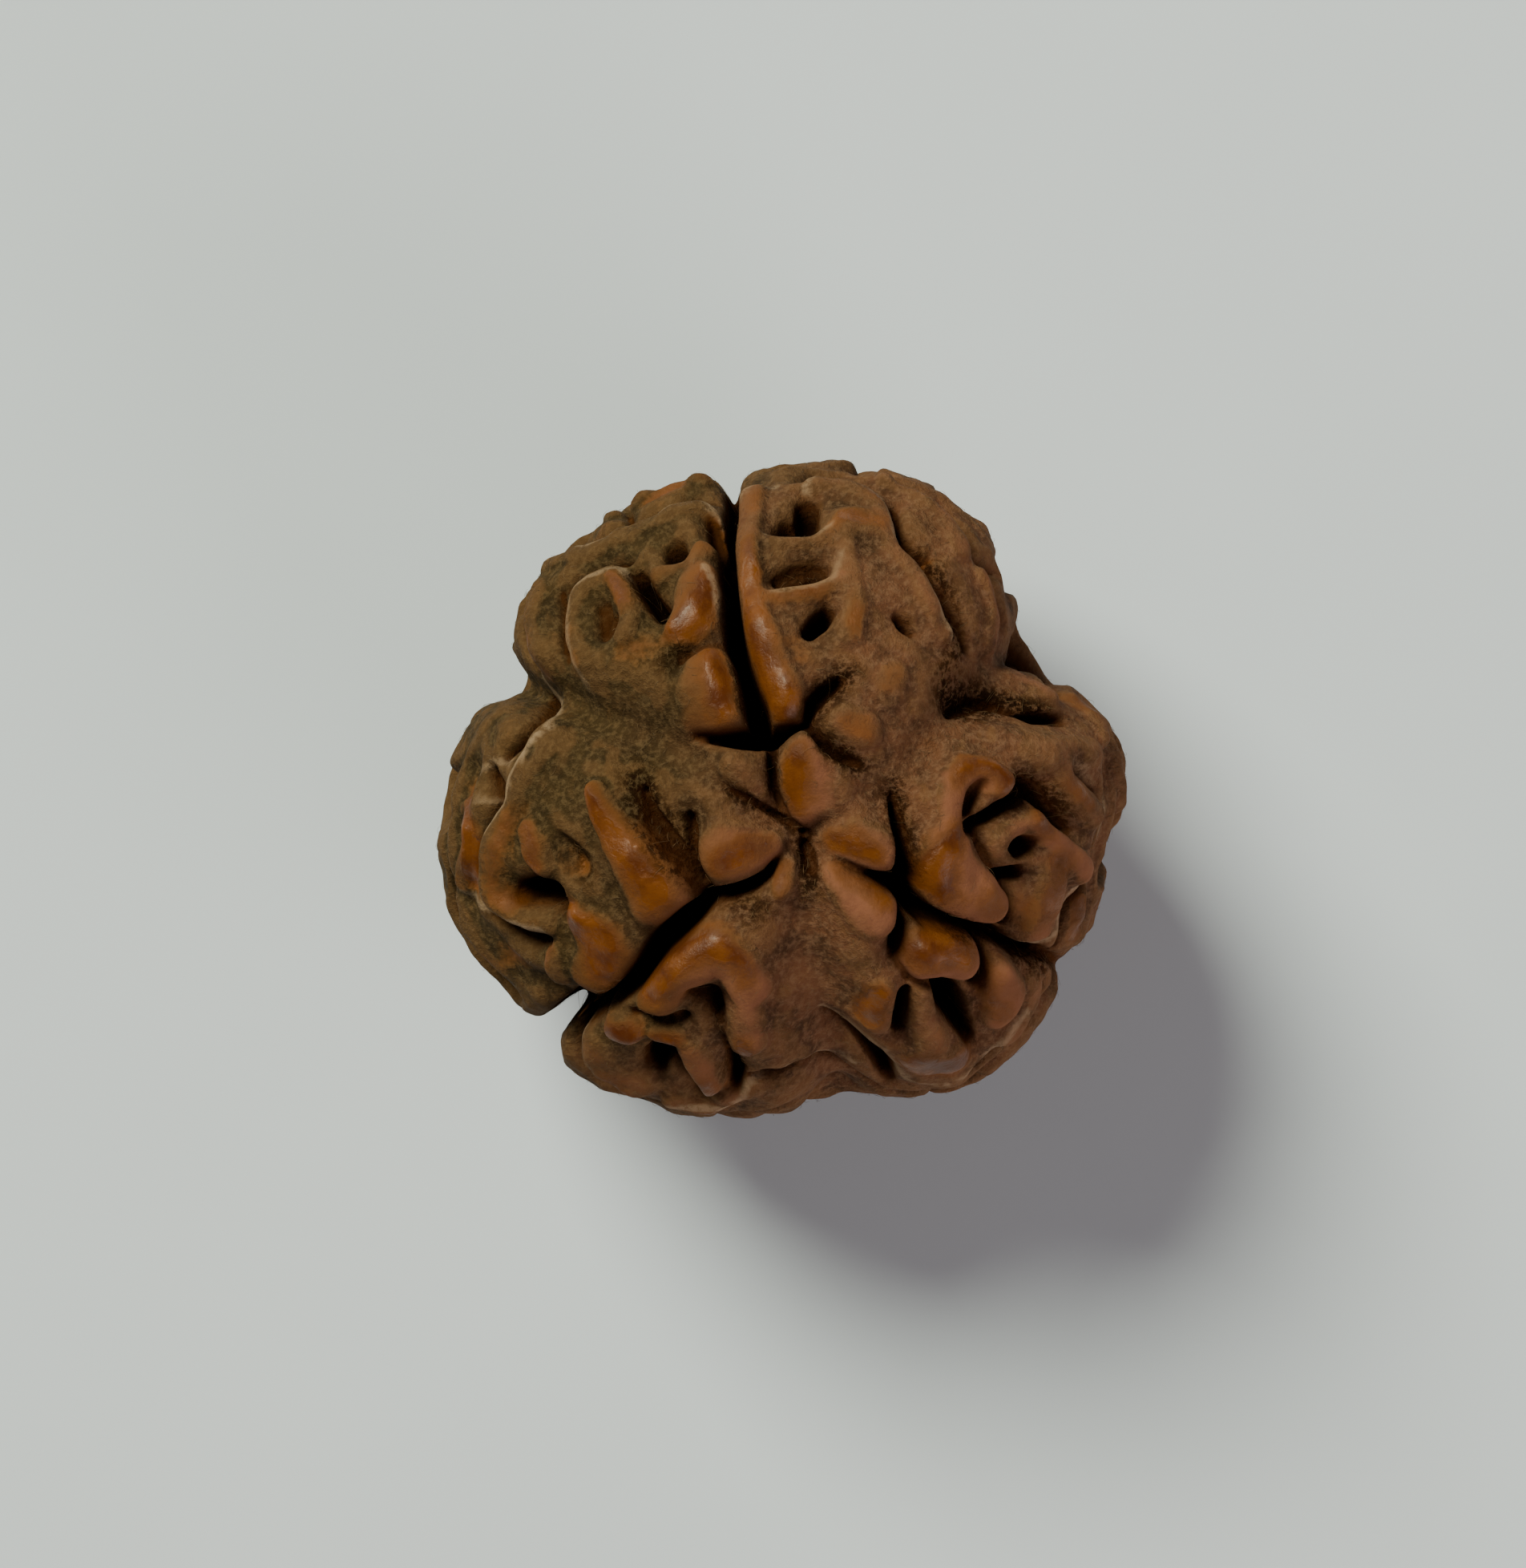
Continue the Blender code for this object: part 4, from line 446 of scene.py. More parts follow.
# Where fingers have rubbed the dust off: how bare, then (x, y, half width) along the streak
RUBBED = {
    # upper left cheek
    "tooth over the crossing": (1.0, [(-2.25, 4.2, 0.4), (-2.05, 3.5, 0.6), (-1.95, 2.6, 0.7)]),
    "tooth edge": (1.0, [(-2.4, 6.5, 0.5), (-2.45, 5.8, 0.6), (-2.8, 5.1, 0.7), (-3.3, 4.9, 0.5)]),
    "ring right limb": (0.75, [(-5.3, 6.6, 0.35), (-5.0, 6.2, 0.45), (-4.9, 5.6, 0.4)]),
    "ring left limb": (0.4, [(-6.6, 5.9, 0.3), (-6.75, 5.0, 0.3), (-6.5, 4.0, 0.35)]),
    "under the ring": (0.45, [(-5.0, 4.3, 0.5), (-4.3, 4.5, 0.6), (-3.7, 4.7, 0.4)]),
    "upper left flank": (0.5, [(-7.9, 5.4, 0.3), (-7.8, 4.5, 0.4), (-7.4, 3.6, 0.4)]),
    "outer lobes": (0.5, [(-6.7, 7.6, 0.4), (-5.6, 8.3, 0.5)]),
    "outer ridge": (0.5, [(-4.2, 9.1, 0.5), (-3.3, 9.5, 0.6)]),
    "pocket by the cleft": (0.55, [(-2.3, 8.6, 0.4), (-2.2, 8.2, 0.4)]),
    # left cheek
    "left back crest": (0.8, [(-10.0, 0.2, 0.4), (-9.9, -0.8, 0.5), (-9.8, -1.8, 0.5),
        (-10.0, -2.8, 0.5)]),
    "left rim": (0.55, [(-8.2, -0.5, 0.6), (-8.8, -1.8, 0.5), (-9.0, -2.7, 0.6), (-8.4, -3.6, 0.4)]),
    "left knob": (0.85, [(-7.8, -1.0, 0.4), (-7.6, -1.6, 0.5), (-7.5, -2.2, 0.4)]),
    "soft left hollow": (0.5, [(-6.9, -2.0, 0.5), (-6.4, -2.3, 0.5)]),
    "long crest": (0.95, [(-5.7, 0.0, 0.4), (-5.4, -0.8, 0.5), (-4.8, -1.6, 0.6), (-4.1, -2.4, 0.8),
        (-3.9, -2.9, 0.9)]),
    "left blob": (0.95, [(-6.6, -3.4, 0.4), (-6.0, -4.0, 0.8), (-5.3, -4.4, 0.9), (-5.5, -5.2, 0.8)]),
    "small left knob": (0.6, [(-7.2, -4.7, 0.3), (-7.2, -5.2, 0.3)]),
    "left slit": (0.5, [(-9.2, -5.2, 0.5), (-8.3, -5.2, 0.5)]),
    # teeth round the mouth
    "tooth left of the mouth": (0.95, [(-2.0, -2.15, 0.6), (-1.3, -1.75, 0.65), (-0.65, -1.55, 0.5)]),
    "tooth over the mouth": (0.95, [(0.35, 1.3, 0.5), (0.3, 0.6, 0.62), (0.4, -0.3, 0.55)]),
    "tooth right of the mouth": (0.9, [(1.5, -1.45, 0.5), (2.1, -1.45, 0.65), (2.7, -1.8, 0.5)]),
    "tooth under the right cleft": (0.6, [(1.6, -2.4, 0.35), (2.3, -2.75, 0.45), (3.0, -3.2, 0.45)]),
    "tooth under the mouth": (0.7, [(-0.05, -2.3, 0.4), (-0.2, -3.0, 0.45)]),
    # upper right cheek
    "finger": (0.95, [(-1.1, 7.6, 0.3), (-1.1, 6.4, 0.4), (-0.95, 5.2, 0.5), (-0.7, 4.2, 0.6),
        (-0.25, 3.2, 0.75), (0.0, 2.5, 0.65)]),
    "upper part of the finger": (0.5, [(-0.9, 9.1, 0.4), (-1.1, 8.4, 0.3)]),
    "upper plateau": (0.8, [(1.6, 8.2, 0.4), (2.2, 8.4, 0.5), (2.8, 8.2, 0.4)]),
    "top of the plateau": (0.55, [(2.3, 9.2, 0.4), (2.9, 9.0, 0.35)]),
    "lower bar": (0.7, [(-0.3, 5.9, 0.3), (0.4, 6.1, 0.35), (1.2, 6.25, 0.35)]),
    "upright bar": (0.65, [(2.15, 5.8, 0.35), (2.05, 4.9, 0.4)]),
    "side pit": (0.7, [(3.9, 7.7, 0.5), (4.4, 7.4, 0.4)]),
    "by the third window": (0.4, [(0.1, 4.6, 0.5), (0.6, 4.1, 0.4)]),
    "knob by the crossing": (0.65, [(1.8, 2.2, 0.4), (2.5, 1.9, 0.4)]),
    "inner knob": (0.6, [(3.4, 3.7, 0.35), (3.1, 3.0, 0.4)]),
    # right cheek
    "hook": (0.85, [(6.6, 0.3, 0.6), (6.3, 0.8, 0.5), (5.5, 0.9, 0.5), (5.2, 0.3, 0.4)]),
    "hook foot": (1.0, [(5.1, -1.1, 0.5), (4.5, -1.8, 0.7), (4.35, -2.5, 0.75), (4.8, -2.95, 0.6)]),
    "end of the hook foot": (0.6, [(5.8, -3.1, 0.6), (6.3, -3.5, 0.5)]),
    "lattice tip": (0.7, [(7.6, -0.7, 0.45), (7.9, -1.2, 0.4)]),
    "lattice": (0.6, [(8.3, -2.2, 0.9), (8.0, -3.2, 0.9), (7.4, -3.8, 0.7)]),
    "right crest": (0.6, [(8.6, 0.4, 0.5), (9.2, -0.3, 0.5)]),
    "upper right crest": (0.65, [(8.8, 3.0, 0.4), (9.6, 2.3, 0.5)]),
    "right back": (0.75, [(9.2, -3.5, 0.6), (9.0, -4.4, 0.6)]),
    # lower right cheek
    "bean": (0.95, [(3.95, -4.7, 0.8), (4.6, -4.5, 0.8), (5.3, -4.65, 0.65)]),
    "left bar of the pits": (0.85, [(2.8, -6.0, 0.5), (2.5, -6.8, 0.7)]),
    "right bar of the pits": (0.6, [(6.1, -5.4, 0.5), (6.2, -6.2, 0.5), (6.6, -6.6, 0.5)]),
    "lower right patch": (1.0, [(4.1, -8.2, 0.9), (5.2, -8.3, 1.0)]),
    # lower left cheek
    "arch": (0.95, [(-4.1, -6.0, 0.6), (-3.45, -5.1, 0.65), (-2.7, -4.55, 0.65), (-2.0, -4.4, 0.65),
        (-1.4, -4.8, 0.55), (-1.1, -5.4, 0.4)]),
    "arch knob": (0.85, [(-1.3, -7.4, 0.45), (-1.2, -7.8, 0.4)]),
    "red knob": (0.95, [(-5.2, -7.15, 0.6), (-4.7, -7.2, 0.6)]),
    "red bar": (0.85, [(-3.9, -7.3, 0.4), (-3.2, -7.4, 0.4)]),
    "tongue": (0.75, [(-2.4, -8.6, 0.4), (-2.2, -9.1, 0.4)]),
    "lower left cheek": (0.4, [(-5.6, -8.3, 0.6), (-4.6, -9.1, 0.5)]),
    "lowest ridge": (0.6, [(-2.6, -9.7, 0.5), (-1.6, -9.6, 0.5)]),
}

# Where the rims are painted pale, part wear and part painted highlight: how pale, then (x, y, half width)
# along the rim
RIM_WEAR_AND_PAINTED_HIGHLIGHT = {
    "upper left rim": (0.75, [(-7.2, 7.1, 0.16), (-6.7, 7.4, 0.17), (-5.9, 7.6, 0.17), (-5.1, 8.05, 0.17),
        (-4.4, 8.4, 0.17), (-3.7, 8.6, 0.17), (-3.1, 9.0, 0.17), (-2.6, 9.0, 0.16), (-2.0, 8.6, 0.15)]),
    "over the ring": (0.7, [(-6.5, 6.3, 0.16), (-5.7, 6.65, 0.16), (-5.1, 7.0, 0.16), (-4.9, 6.7, 0.15)]),
    "left of the ring": (0.5, [(-6.6, 6.1, 0.16), (-6.75, 5.2, 0.16), (-6.6, 4.2, 0.16),
        (-6.3, 3.4, 0.16)]),
    "upper left flank": (0.7, [(-8.05, 6.0, 0.16), (-8.15, 5.1, 0.17), (-8.0, 4.2, 0.17),
        (-7.7, 3.4, 0.18), (-7.35, 2.7, 0.19), (-7.4, 2.0, 0.18)]),
    "left rim": (0.8, [(-7.4, 2.0, 0.18), (-7.9, 1.3, 0.18), (-8.35, 0.7, 0.17), (-8.5, 0.0, 0.17),
        (-8.95, -0.8, 0.17), (-9.3, -1.5, 0.17), (-9.4, -2.4, 0.17), (-9.4, -3.1, 0.17),
        (-8.8, -3.8, 0.17), (-7.9, -4.05, 0.17), (-7.4, -4.15, 0.16)]),
    "left side pit": (0.55, [(-9.5, 0.8, 0.16), (-9.1, 1.0, 0.16), (-8.6, 1.0, 0.16)]),
    "left back": (0.45, [(-9.9, 0.0, 0.15), (-9.5, -0.2, 0.16), (-9.1, -0.25, 0.15)]),
    "left corner": (0.6, [(-10.3, -3.0, 0.16), (-9.9, -3.4, 0.17), (-9.4, -3.7, 0.16)]),
    "upper cleft edge": (0.6, [(-1.45, 9.0, 0.16), (-1.0, 9.35, 0.17), (-0.3, 9.45, 0.16)]),
    "upper right rim": (0.7, [(0.6, 9.4, 0.16), (0.9, 9.7, 0.17), (1.5, 9.7, 0.17), (2.2, 9.45, 0.17),
        (2.9, 9.15, 0.17), (3.2, 8.7, 0.17), (3.35, 8.0, 0.17), (3.8, 7.4, 0.17), (4.25, 6.9, 0.17),
        (4.5, 6.2, 0.17), (4.8, 5.4, 0.17), (5.1, 4.8, 0.16)]),
    "outer upper right": (0.45, [(4.0, 9.5, 0.16), (4.8, 9.0, 0.17), (5.3, 8.4, 0.16)]),
    "upper right tooth": (0.7, [(-2.45, 6.85, 0.15), (-2.1, 6.3, 0.16), (-2.05, 5.6, 0.15)]),
    "first bar": (0.5, [(-0.6, 7.95, 0.16), (0.3, 7.85, 0.16), (1.3, 8.1, 0.16)]),
    "second bar": (0.4, [(-0.4, 6.1, 0.16), (0.5, 6.25, 0.16), (1.4, 6.55, 0.17), (1.7, 7.3, 0.16)]),
    "lattice foot": (0.75, [(9.6, -2.7, 0.16), (8.9, -2.9, 0.17), (8.6, -3.5, 0.17), (8.4, -4.2, 0.17),
        (7.9, -4.75, 0.17), (7.4, -4.7, 0.16)]),
    "right slit": (0.45, [(8.8, 1.0, 0.15), (9.3, 0.8, 0.16), (9.8, 0.3, 0.15)]),
    "right rim": (0.6, [(9.9, 1.9, 0.16), (10.2, 1.0, 0.17), (10.2, 0.0, 0.17), (10.0, -1.2, 0.16)]),
    "saddle knob": (0.7, [(7.4, 4.3, 0.16), (8.0, 3.9, 0.17), (8.3, 3.4, 0.16)]),
    "over the slit": (0.7, [(1.2, -7.1, 0.16), (2.2, -7.55, 0.17), (3.0, -7.9, 0.18), (3.4, -8.5, 0.18),
        (3.9, -9.0, 0.17), (4.9, -9.0, 0.17), (5.9, -8.5, 0.17), (6.6, -7.6, 0.17), (7.3, -6.6, 0.16)]),
    "lower left cheek": (0.9, [(-6.3, -7.0, 0.16), (-6.4, -7.8, 0.17), (-5.9, -8.4, 0.17),
        (-5.5, -8.9, 0.16)]),
    "lowest ridge": (0.8, [(-3.6, -9.4, 0.16), (-2.7, -9.55, 0.17), (-1.6, -9.6, 0.17),
        (-1.2, -9.1, 0.16), (-0.3, -8.7, 0.17), (0.7, -8.5, 0.17), (2.2, -8.6, 0.16)]),
    "tongue": (0.7, [(-3.5, -7.7, 0.15), (-2.9, -8.4, 0.16), (-2.5, -9.1, 0.16), (-2.1, -9.2, 0.16)]),
}

# Where husk fibres and dirt have caught, their dark partly painted shade of the grooves and pits: how
# thickly, then (x, y, half width) along the place
SHAGGY = {
    # upper left cheek
    "slot by the ring": (0.7, [(-4.7, 6.9, 0.5), (-4.3, 6.2, 0.5), (-3.8, 5.6, 0.5)]),
    "ring floor": (0.4, [(-5.6, 5.4, 0.5)]),
    "below the tooth gap": (0.6, [(-3.3, 4.3, 0.5), (-3.9, 4.0, 0.4)]),
    # left cheek
    "groove by the long crest": (0.9, [(-4.7, 0.6, 0.6), (-4.2, -0.6, 0.9), (-3.6, -1.5, 0.8),
        (-2.9, -2.5, 0.6)]),
    "groove left of the mouth tooth": (0.6, [(-3.0, -0.7, 0.5), (-2.9, -1.9, 0.5)]),
    "right of the knob": (0.5, [(-6.6, -1.7, 0.6), (-6.1, -2.5, 0.6)]),
    "left hole": (0.6, [(-7.2, -3.3, 0.6)]),
    "left side pit": (0.6, [(-9.2, 0.6, 0.5)]),
    # round the mouth
    "left mouth crack": (0.8, [(0.2, -1.1, 0.3), (-0.8, -0.5, 0.4), (-1.7, 0.1, 0.4)]),
    "mouth": (0.9, [(0.55, -1.2, 0.4), (0.75, -2.3, 0.5), (0.8, -3.1, 0.4)]),
    "middle channel": (0.7, [(-0.4, 1.3, 0.4), (-0.4, 0.0, 0.4)]),
    "below the left tooth": (0.6, [(-2.3, -3.2, 0.5), (-1.2, -3.5, 0.6), (-0.6, -3.7, 0.5)]),
    "upper cleft": (0.6, [(-1.8, 7.6, 0.4), (-1.7, 5.2, 0.4), (-1.2, 2.6, 0.5)]),
    # upper right cheek
    "first window": (0.9, [(0.5, 8.4, 0.6), (0.7, 9.1, 0.5)]),
    "second window": (0.8, [(0.2, 6.8, 0.5), (0.9, 7.0, 0.5)]),
    "groove round the tip": (0.9, [(0.8, 2.6, 0.6), (1.3, 3.2, 0.7), (2.0, 3.8, 0.5)]),
    "groove under the knob": (0.9, [(0.9, 1.9, 0.4), (1.5, 1.3, 0.6), (2.3, 0.9, 0.5)]),
    "small pit": (0.6, [(3.7, 5.3, 0.5)]),
    "side pits": (0.8, [(4.1, 7.7, 0.5), (5.0, 6.3, 0.7), (5.4, 5.3, 0.8), (5.2, 4.3, 0.6)]),
    # right cheek
    "right saddle": (0.9, [(4.9, 3.6, 0.7), (5.6, 2.9, 1.0), (6.5, 3.1, 1.1), (7.4, 2.9, 0.8),
        (8.4, 2.4, 0.6)]),
    "hairy groove": (0.9, [(7.3, 0.3, 0.8), (8.0, 0.0, 0.8), (8.8, -1.0, 0.5)]),
    "groove under the hook": (0.7, [(6.8, -0.4, 0.5), (5.8, -1.0, 0.4)]),
    "riser of the right cleft": (0.9, [(3.5, 0.3, 0.5), (3.65, -1.0, 0.6), (3.7, -2.2, 0.6)]),
    "right cleft": (0.7, [(4.2, -3.6, 0.6), (5.4, -4.1, 0.6), (6.6, -4.6, 0.5)]),
    "end of the right cleft": (0.9, [(7.4, -5.1, 0.5), (8.5, -5.3, 0.5)]),
    # lower cheeks
    "right pit": (0.8, [(5.2, -6.6, 0.5), (5.8, -7.7, 0.4)]),
    "slit under the saddle": (0.5, [(2.9, -8.5, 0.6)]),
    "left cleft": (0.6, [(-3.2, -4.1, 0.5), (-4.6, -5.6, 0.5), (-5.7, -6.4, 0.5)]),
    "arch hollow": (0.5, [(-2.3, -6.5, 0.5), (-2.0, -7.3, 0.4)]),
    "lower left pit": (0.6, [(-4.0, -8.2, 0.5)]),
    "pit by the tongue": (0.9, [(-1.6, -8.6, 0.6)]),
}

# Loose threads: husk fibres on top and on the sides, and the short hair of the dust
THREAD_REACH = 9.5  # about how far from the heart they lie
FIBRES, FIBRE_SEED = 900, 11
FIBRE_LENGTHS = (0.12, 0.4)
FIBRE_RADIUS = 0.007
MOST_BRIDGED = 0.35  # most that the ground may fall or rise from one end of a fibre to the other
SIDE_FIBRES, SIDE_SEED = 500, 8
SIDE_LENGTHS = (0.3, 0.7)
SIDE_CLEARANCE = 0.6  # how far above the floor a side fibre starts at least
SIDE_DEPTH = 0.9  # how deep in a hollow it starts at least
FUZZ_HAIRS, FUZZ_SEED = 2600, 5
FUZZ_LENGTHS = (0.1, 0.3)
FUZZ_RADIUS = 0.006

# Soft boxes: azimuth from +x and elevation in degrees, distance and size in metres, power in watts
WINDOW = (129, 47, 0.722, 0.34, 10.3)
FILL = (-42, 22, 0.5, 0.4, 1.9)
ROOM_STRENGTH = 0.08

# Camera, in millimetres
CAMERA_HEIGHT = 380
FOCUS_HEIGHT = 9.6  # where the scale of the photo was read
SENSOR = 36
PHOTO_HEIGHT = 1956  # pixels
PIXELS_PER_MM = 40
PHOTO_MIDDLE = (-0.7, 0.3)  # plan place at the middle of the frame


def deselect_all():
    bpy.ops.object.select_all(action="DESELECT")


def corners_of(mesh):
    places = np.empty(len(mesh.vertices) * 3)
    mesh.vertices.foreach_get("co", places)
    return places.reshape(-1, 3)


def rays_to(places):
    return places / np.linalg.norm(places, axis=-1, keepdims=True)


def reach_of(ray):
    """Distance from the heart to the finished surface along unit rays, in millimetres."""
    skin = skin_radius(ray)
    return skin + relief(ray * skin[:, None])


def softened(mesh, rows, passes):
    """Rows of values, one row a corner, after each took the mean of its neighbours, over and over."""
    ends = np.empty(len(mesh.edges) * 2, np.int32)
    mesh.edges.foreach_get("vertices", ends)
    a, b = ends.reshape(-1, 2).T
    count = np.bincount(a, minlength=len(rows)) + np.bincount(b, minlength=len(rows))
    for _ in range(passes):
        sums = np.empty_like(rows)
        for column in range(rows.shape[1]):
            sums[:, column] = np.bincount(a, rows[b, column], len(rows))
            sums[:, column] += np.bincount(b, rows[a, column], len(rows))
        rows = sums / count[:, None]
    return rows


def apply(thing, kind, **settings):
    modifier = thing.modifiers.new(kind.lower(), kind)
    for name, value in settings.items():
        setattr(modifier, name, value)
    bpy.ops.object.modifier_apply(modifier=modifier.name)


def marked(ray, paths):
    """How strongly a table's streaks mark the skin along unit rays, from 0 to 1."""
    def mark(beyond, share, strength):
        return strength * slope(share**1.5)
    return strokes(ray * skin_radius(ray)[:, None], paths, 1, mark).max(axis=0)


def fine_bead():
    """The frame's bead in fine faces, marked with how worn and how hollow each place is."""
    deselect_all()
    bpy.ops.mesh.primitive_ico_sphere_add(subdivisions=8, radius=1)
    bead = bpy.context.object
    bead.name = bead.data.name = "fine_bead"
    ray = rays_to(corners_of(bead.data))
    bead.data.vertices.foreach_set("co", (ray * reach_of(ray)[:, None]).ravel())
    apply(bead, "REMESH", mode="VOXEL", voxel_size=FINE_FACE)
    apply(bead, "SMOOTH", iterations=2)
    apply(bead, "DECIMATE", ratio=FINE_TRIANGLES / (2 * len(bead.data.polygons)))
    mesh = bead.data
    places = corners_of(mesh)
    ray = rays_to(places)
    skin = skin_radius(ray)
    soft = softened(mesh, places, HIGH_PASSES)
    stained = softened(mesh, np.stack([marked(ray, RUBBED), marked(ray, SHAGGY)], axis=1), STAIN_PASSES)
    marks = {
        "rubbed": stained[:, 0],
        "shaggy": stained[:, 1],
        "pale": marked(ray, RIM_WEAR_AND_PAINTED_HIGHLIGHT),
        "raised": raised(ray * skin[:, None]),
        "hollow": fallen(ray * skin[:, None]),
        "high": ((places - soft) * ray).sum(axis=1),
    }
    for name, values in marks.items():
        mesh.attributes.new(name, "FLOAT", "POINT").data.foreach_set("value", values)
    places[:, 2] = np.maximum(places[:, 2], FOOT_CUT - HALF_HEIGHT)
    middle = (places.min(axis=0) + places.max(axis=0)) / 2
    shift = np.array((-middle[0], -middle[1], HALF_HEIGHT - FOOT_CUT))
    mesh.vertices.foreach_set("co", ((places + shift) * MM).ravel())
    mesh.shade_smooth()
    mesh.update()
    return bead, shift


def strands(name, start, heading, length, radius, lift, shift, steps=6):
    """Three-sided threads that run over the surface from start rays, and bridge what is hollow."""
    rng = np.random.default_rng(len(start))
    count = len(start)
    across = rays_to(np.cross(start, heading))
    bend = rng.normal(scale=0.5, size=(count, 1, 1))
    share = np.linspace(0, 1, steps)[None, :, None]
    ahead = share * length[:, None, None]
    path = start[:, None] * THREAD_REACH + heading[:, None] * ahead + across[:, None] * bend * ahead * share
    ray = rays_to(path)
    ground = reach_of(ray.reshape(-1, 3)).reshape(count, steps, 1)
    level = ground[:, :1] * (1 - share) + ground[:, -1:] * share
    arch = np.sin(share * math.pi) * rng.uniform(0.3, 1, (count, 1, 1)) * lift[:, None, None]
    tip = share * rng.uniform(-0.3, 1, (count, 1, 1)) * lift[:, None, None]
    path = ray * (np.maximum(level + arch + tip, ground + radius) + radius)
    along = rays_to(np.gradient(path, axis=1))
    side = rays_to(np.cross(along, ray))
    up = np.cross(side, along)
    taper = radius * (1 - 0.6 * share)
    rings = []
    for turn in range(3):
        angle = 2 * math.pi * turn / 3
        rings.append(path + taper * (math.cos(angle) * side + math.sin(angle) * up))
    corners = np.stack(rings, axis=2).reshape(-1, 3) + shift
    corners[:, 2] = np.maximum(corners[:, 2], 0)
    faces = []
    for strand in range(count):
        first = strand * steps * 3
        faces.append((first + 2, first + 1, first))
        for step in range(steps - 1):
            ring = first + step * 3
            for turn in range(3):
                after = (turn + 1) % 3
                faces.append((ring + turn, ring + after, ring + 3 + after, ring + 3 + turn))
        last = first + (steps - 1) * 3
        faces.append((last, last + 1, last + 2))
    mesh = bpy.data.meshes.new(name)
    mesh.from_pydata((corners * MM).tolist(), [], faces)
    mesh.shade_smooth()
    made = bpy.data.objects.new(name, mesh)
    bpy.context.collection.objects.link(made)
    return made


def headings(rng, start):
    return rays_to(np.cross(start, rng.normal(size=start.shape)))


def husk_fibres(shift):
    """Coarse fibres left from the husk, where the photo shows them."""
    rng = np.random.default_rng(FIBRE_SEED)
    start = rays_to(rng.normal(size=(FIBRES * 20, 3)))
    start = start[start[:, 2] > 0]
    start = start[rng.uniform(0.1, 1, len(start)) < marked(start, SHAGGY)]
    length = rng.uniform(*FIBRE_LENGTHS, len(start))
    heading = headings(rng, start)
    end = rays_to(start * HALF_HEIGHT + heading * length[:, None])
    level = np.abs(reach_of(end) - reach_of(start)) < MOST_BRIDGED
    start, heading, length = (row[level][:FIBRES] for row in (start, heading, length))
    lift = rng.uniform(0.01, 0.15, len(start))
    return strands("husk_fibres", start, heading, length, FIBRE_RADIUS, lift, shift)


def side_fibres(shift):
    """The same fibres in the hollows of the sides and the underside."""
    rng = np.random.default_rng(SIDE_SEED)
    start = rays_to(rng.normal(size=(SIDE_FIBRES * 8, 3)))
    start = start[start[:, 2] < 0.25]
    reach = reach_of(start)
    deep = skin_radius(start) - reach
    clear = start[:, 2] * reach + shift[2] > SIDE_CLEARANCE
    start = start[clear & (deep > SIDE_DEPTH)][:SIDE_FIBRES]
    length = rng.uniform(*SIDE_LENGTHS, len(start))
    lift = rng.uniform(0.02, 0.15, len(start))
    return strands("side_fibres", start, headings(rng, start), length, FIBRE_RADIUS, lift, shift)


def fuzz(shift):
    """Short pale hairs of dust felt, everywhere but on the rubbed crests."""
    rng = np.random.default_rng(FUZZ_SEED)
    start = rays_to(rng.normal(size=(FUZZ_HAIRS * 2, 3)))
    start = start[(marked(start, RUBBED) < 0.2) & (start[:, 2] > -0.8)][:FUZZ_HAIRS]
    length = rng.uniform(*FUZZ_LENGTHS, len(start))
    lift = rng.uniform(0.01, 0.1, len(start))
    return strands("dust_fuzz", start, headings(rng, start), length, FUZZ_RADIUS, lift, shift, steps=4)


def linear(hex_colour):
    """Linear RGBA of an sRGB hex colour."""
    parts = [int(hex_colour[i : i + 2], 16) / 255 for i in (1, 3, 5)]
    return (*[c / 12.92 if c <= 0.04045 else ((c + 0.055) / 1.055) ** 2.4 for c in parts], 1)


def add(tree, kind, inputs, **settings):
    """Adds a shader node with its settings; an input is a value, or the socket that feeds it."""
    made = tree.nodes.new(kind)
    for name, value in settings.items():
        setattr(made, name, value)
    for socket, value in inputs.items():
        if isinstance(value, bpy.types.NodeSocket):
            tree.links.new(value, made.inputs[socket])
        else:
            made.inputs[socket].default_value = value
    return made


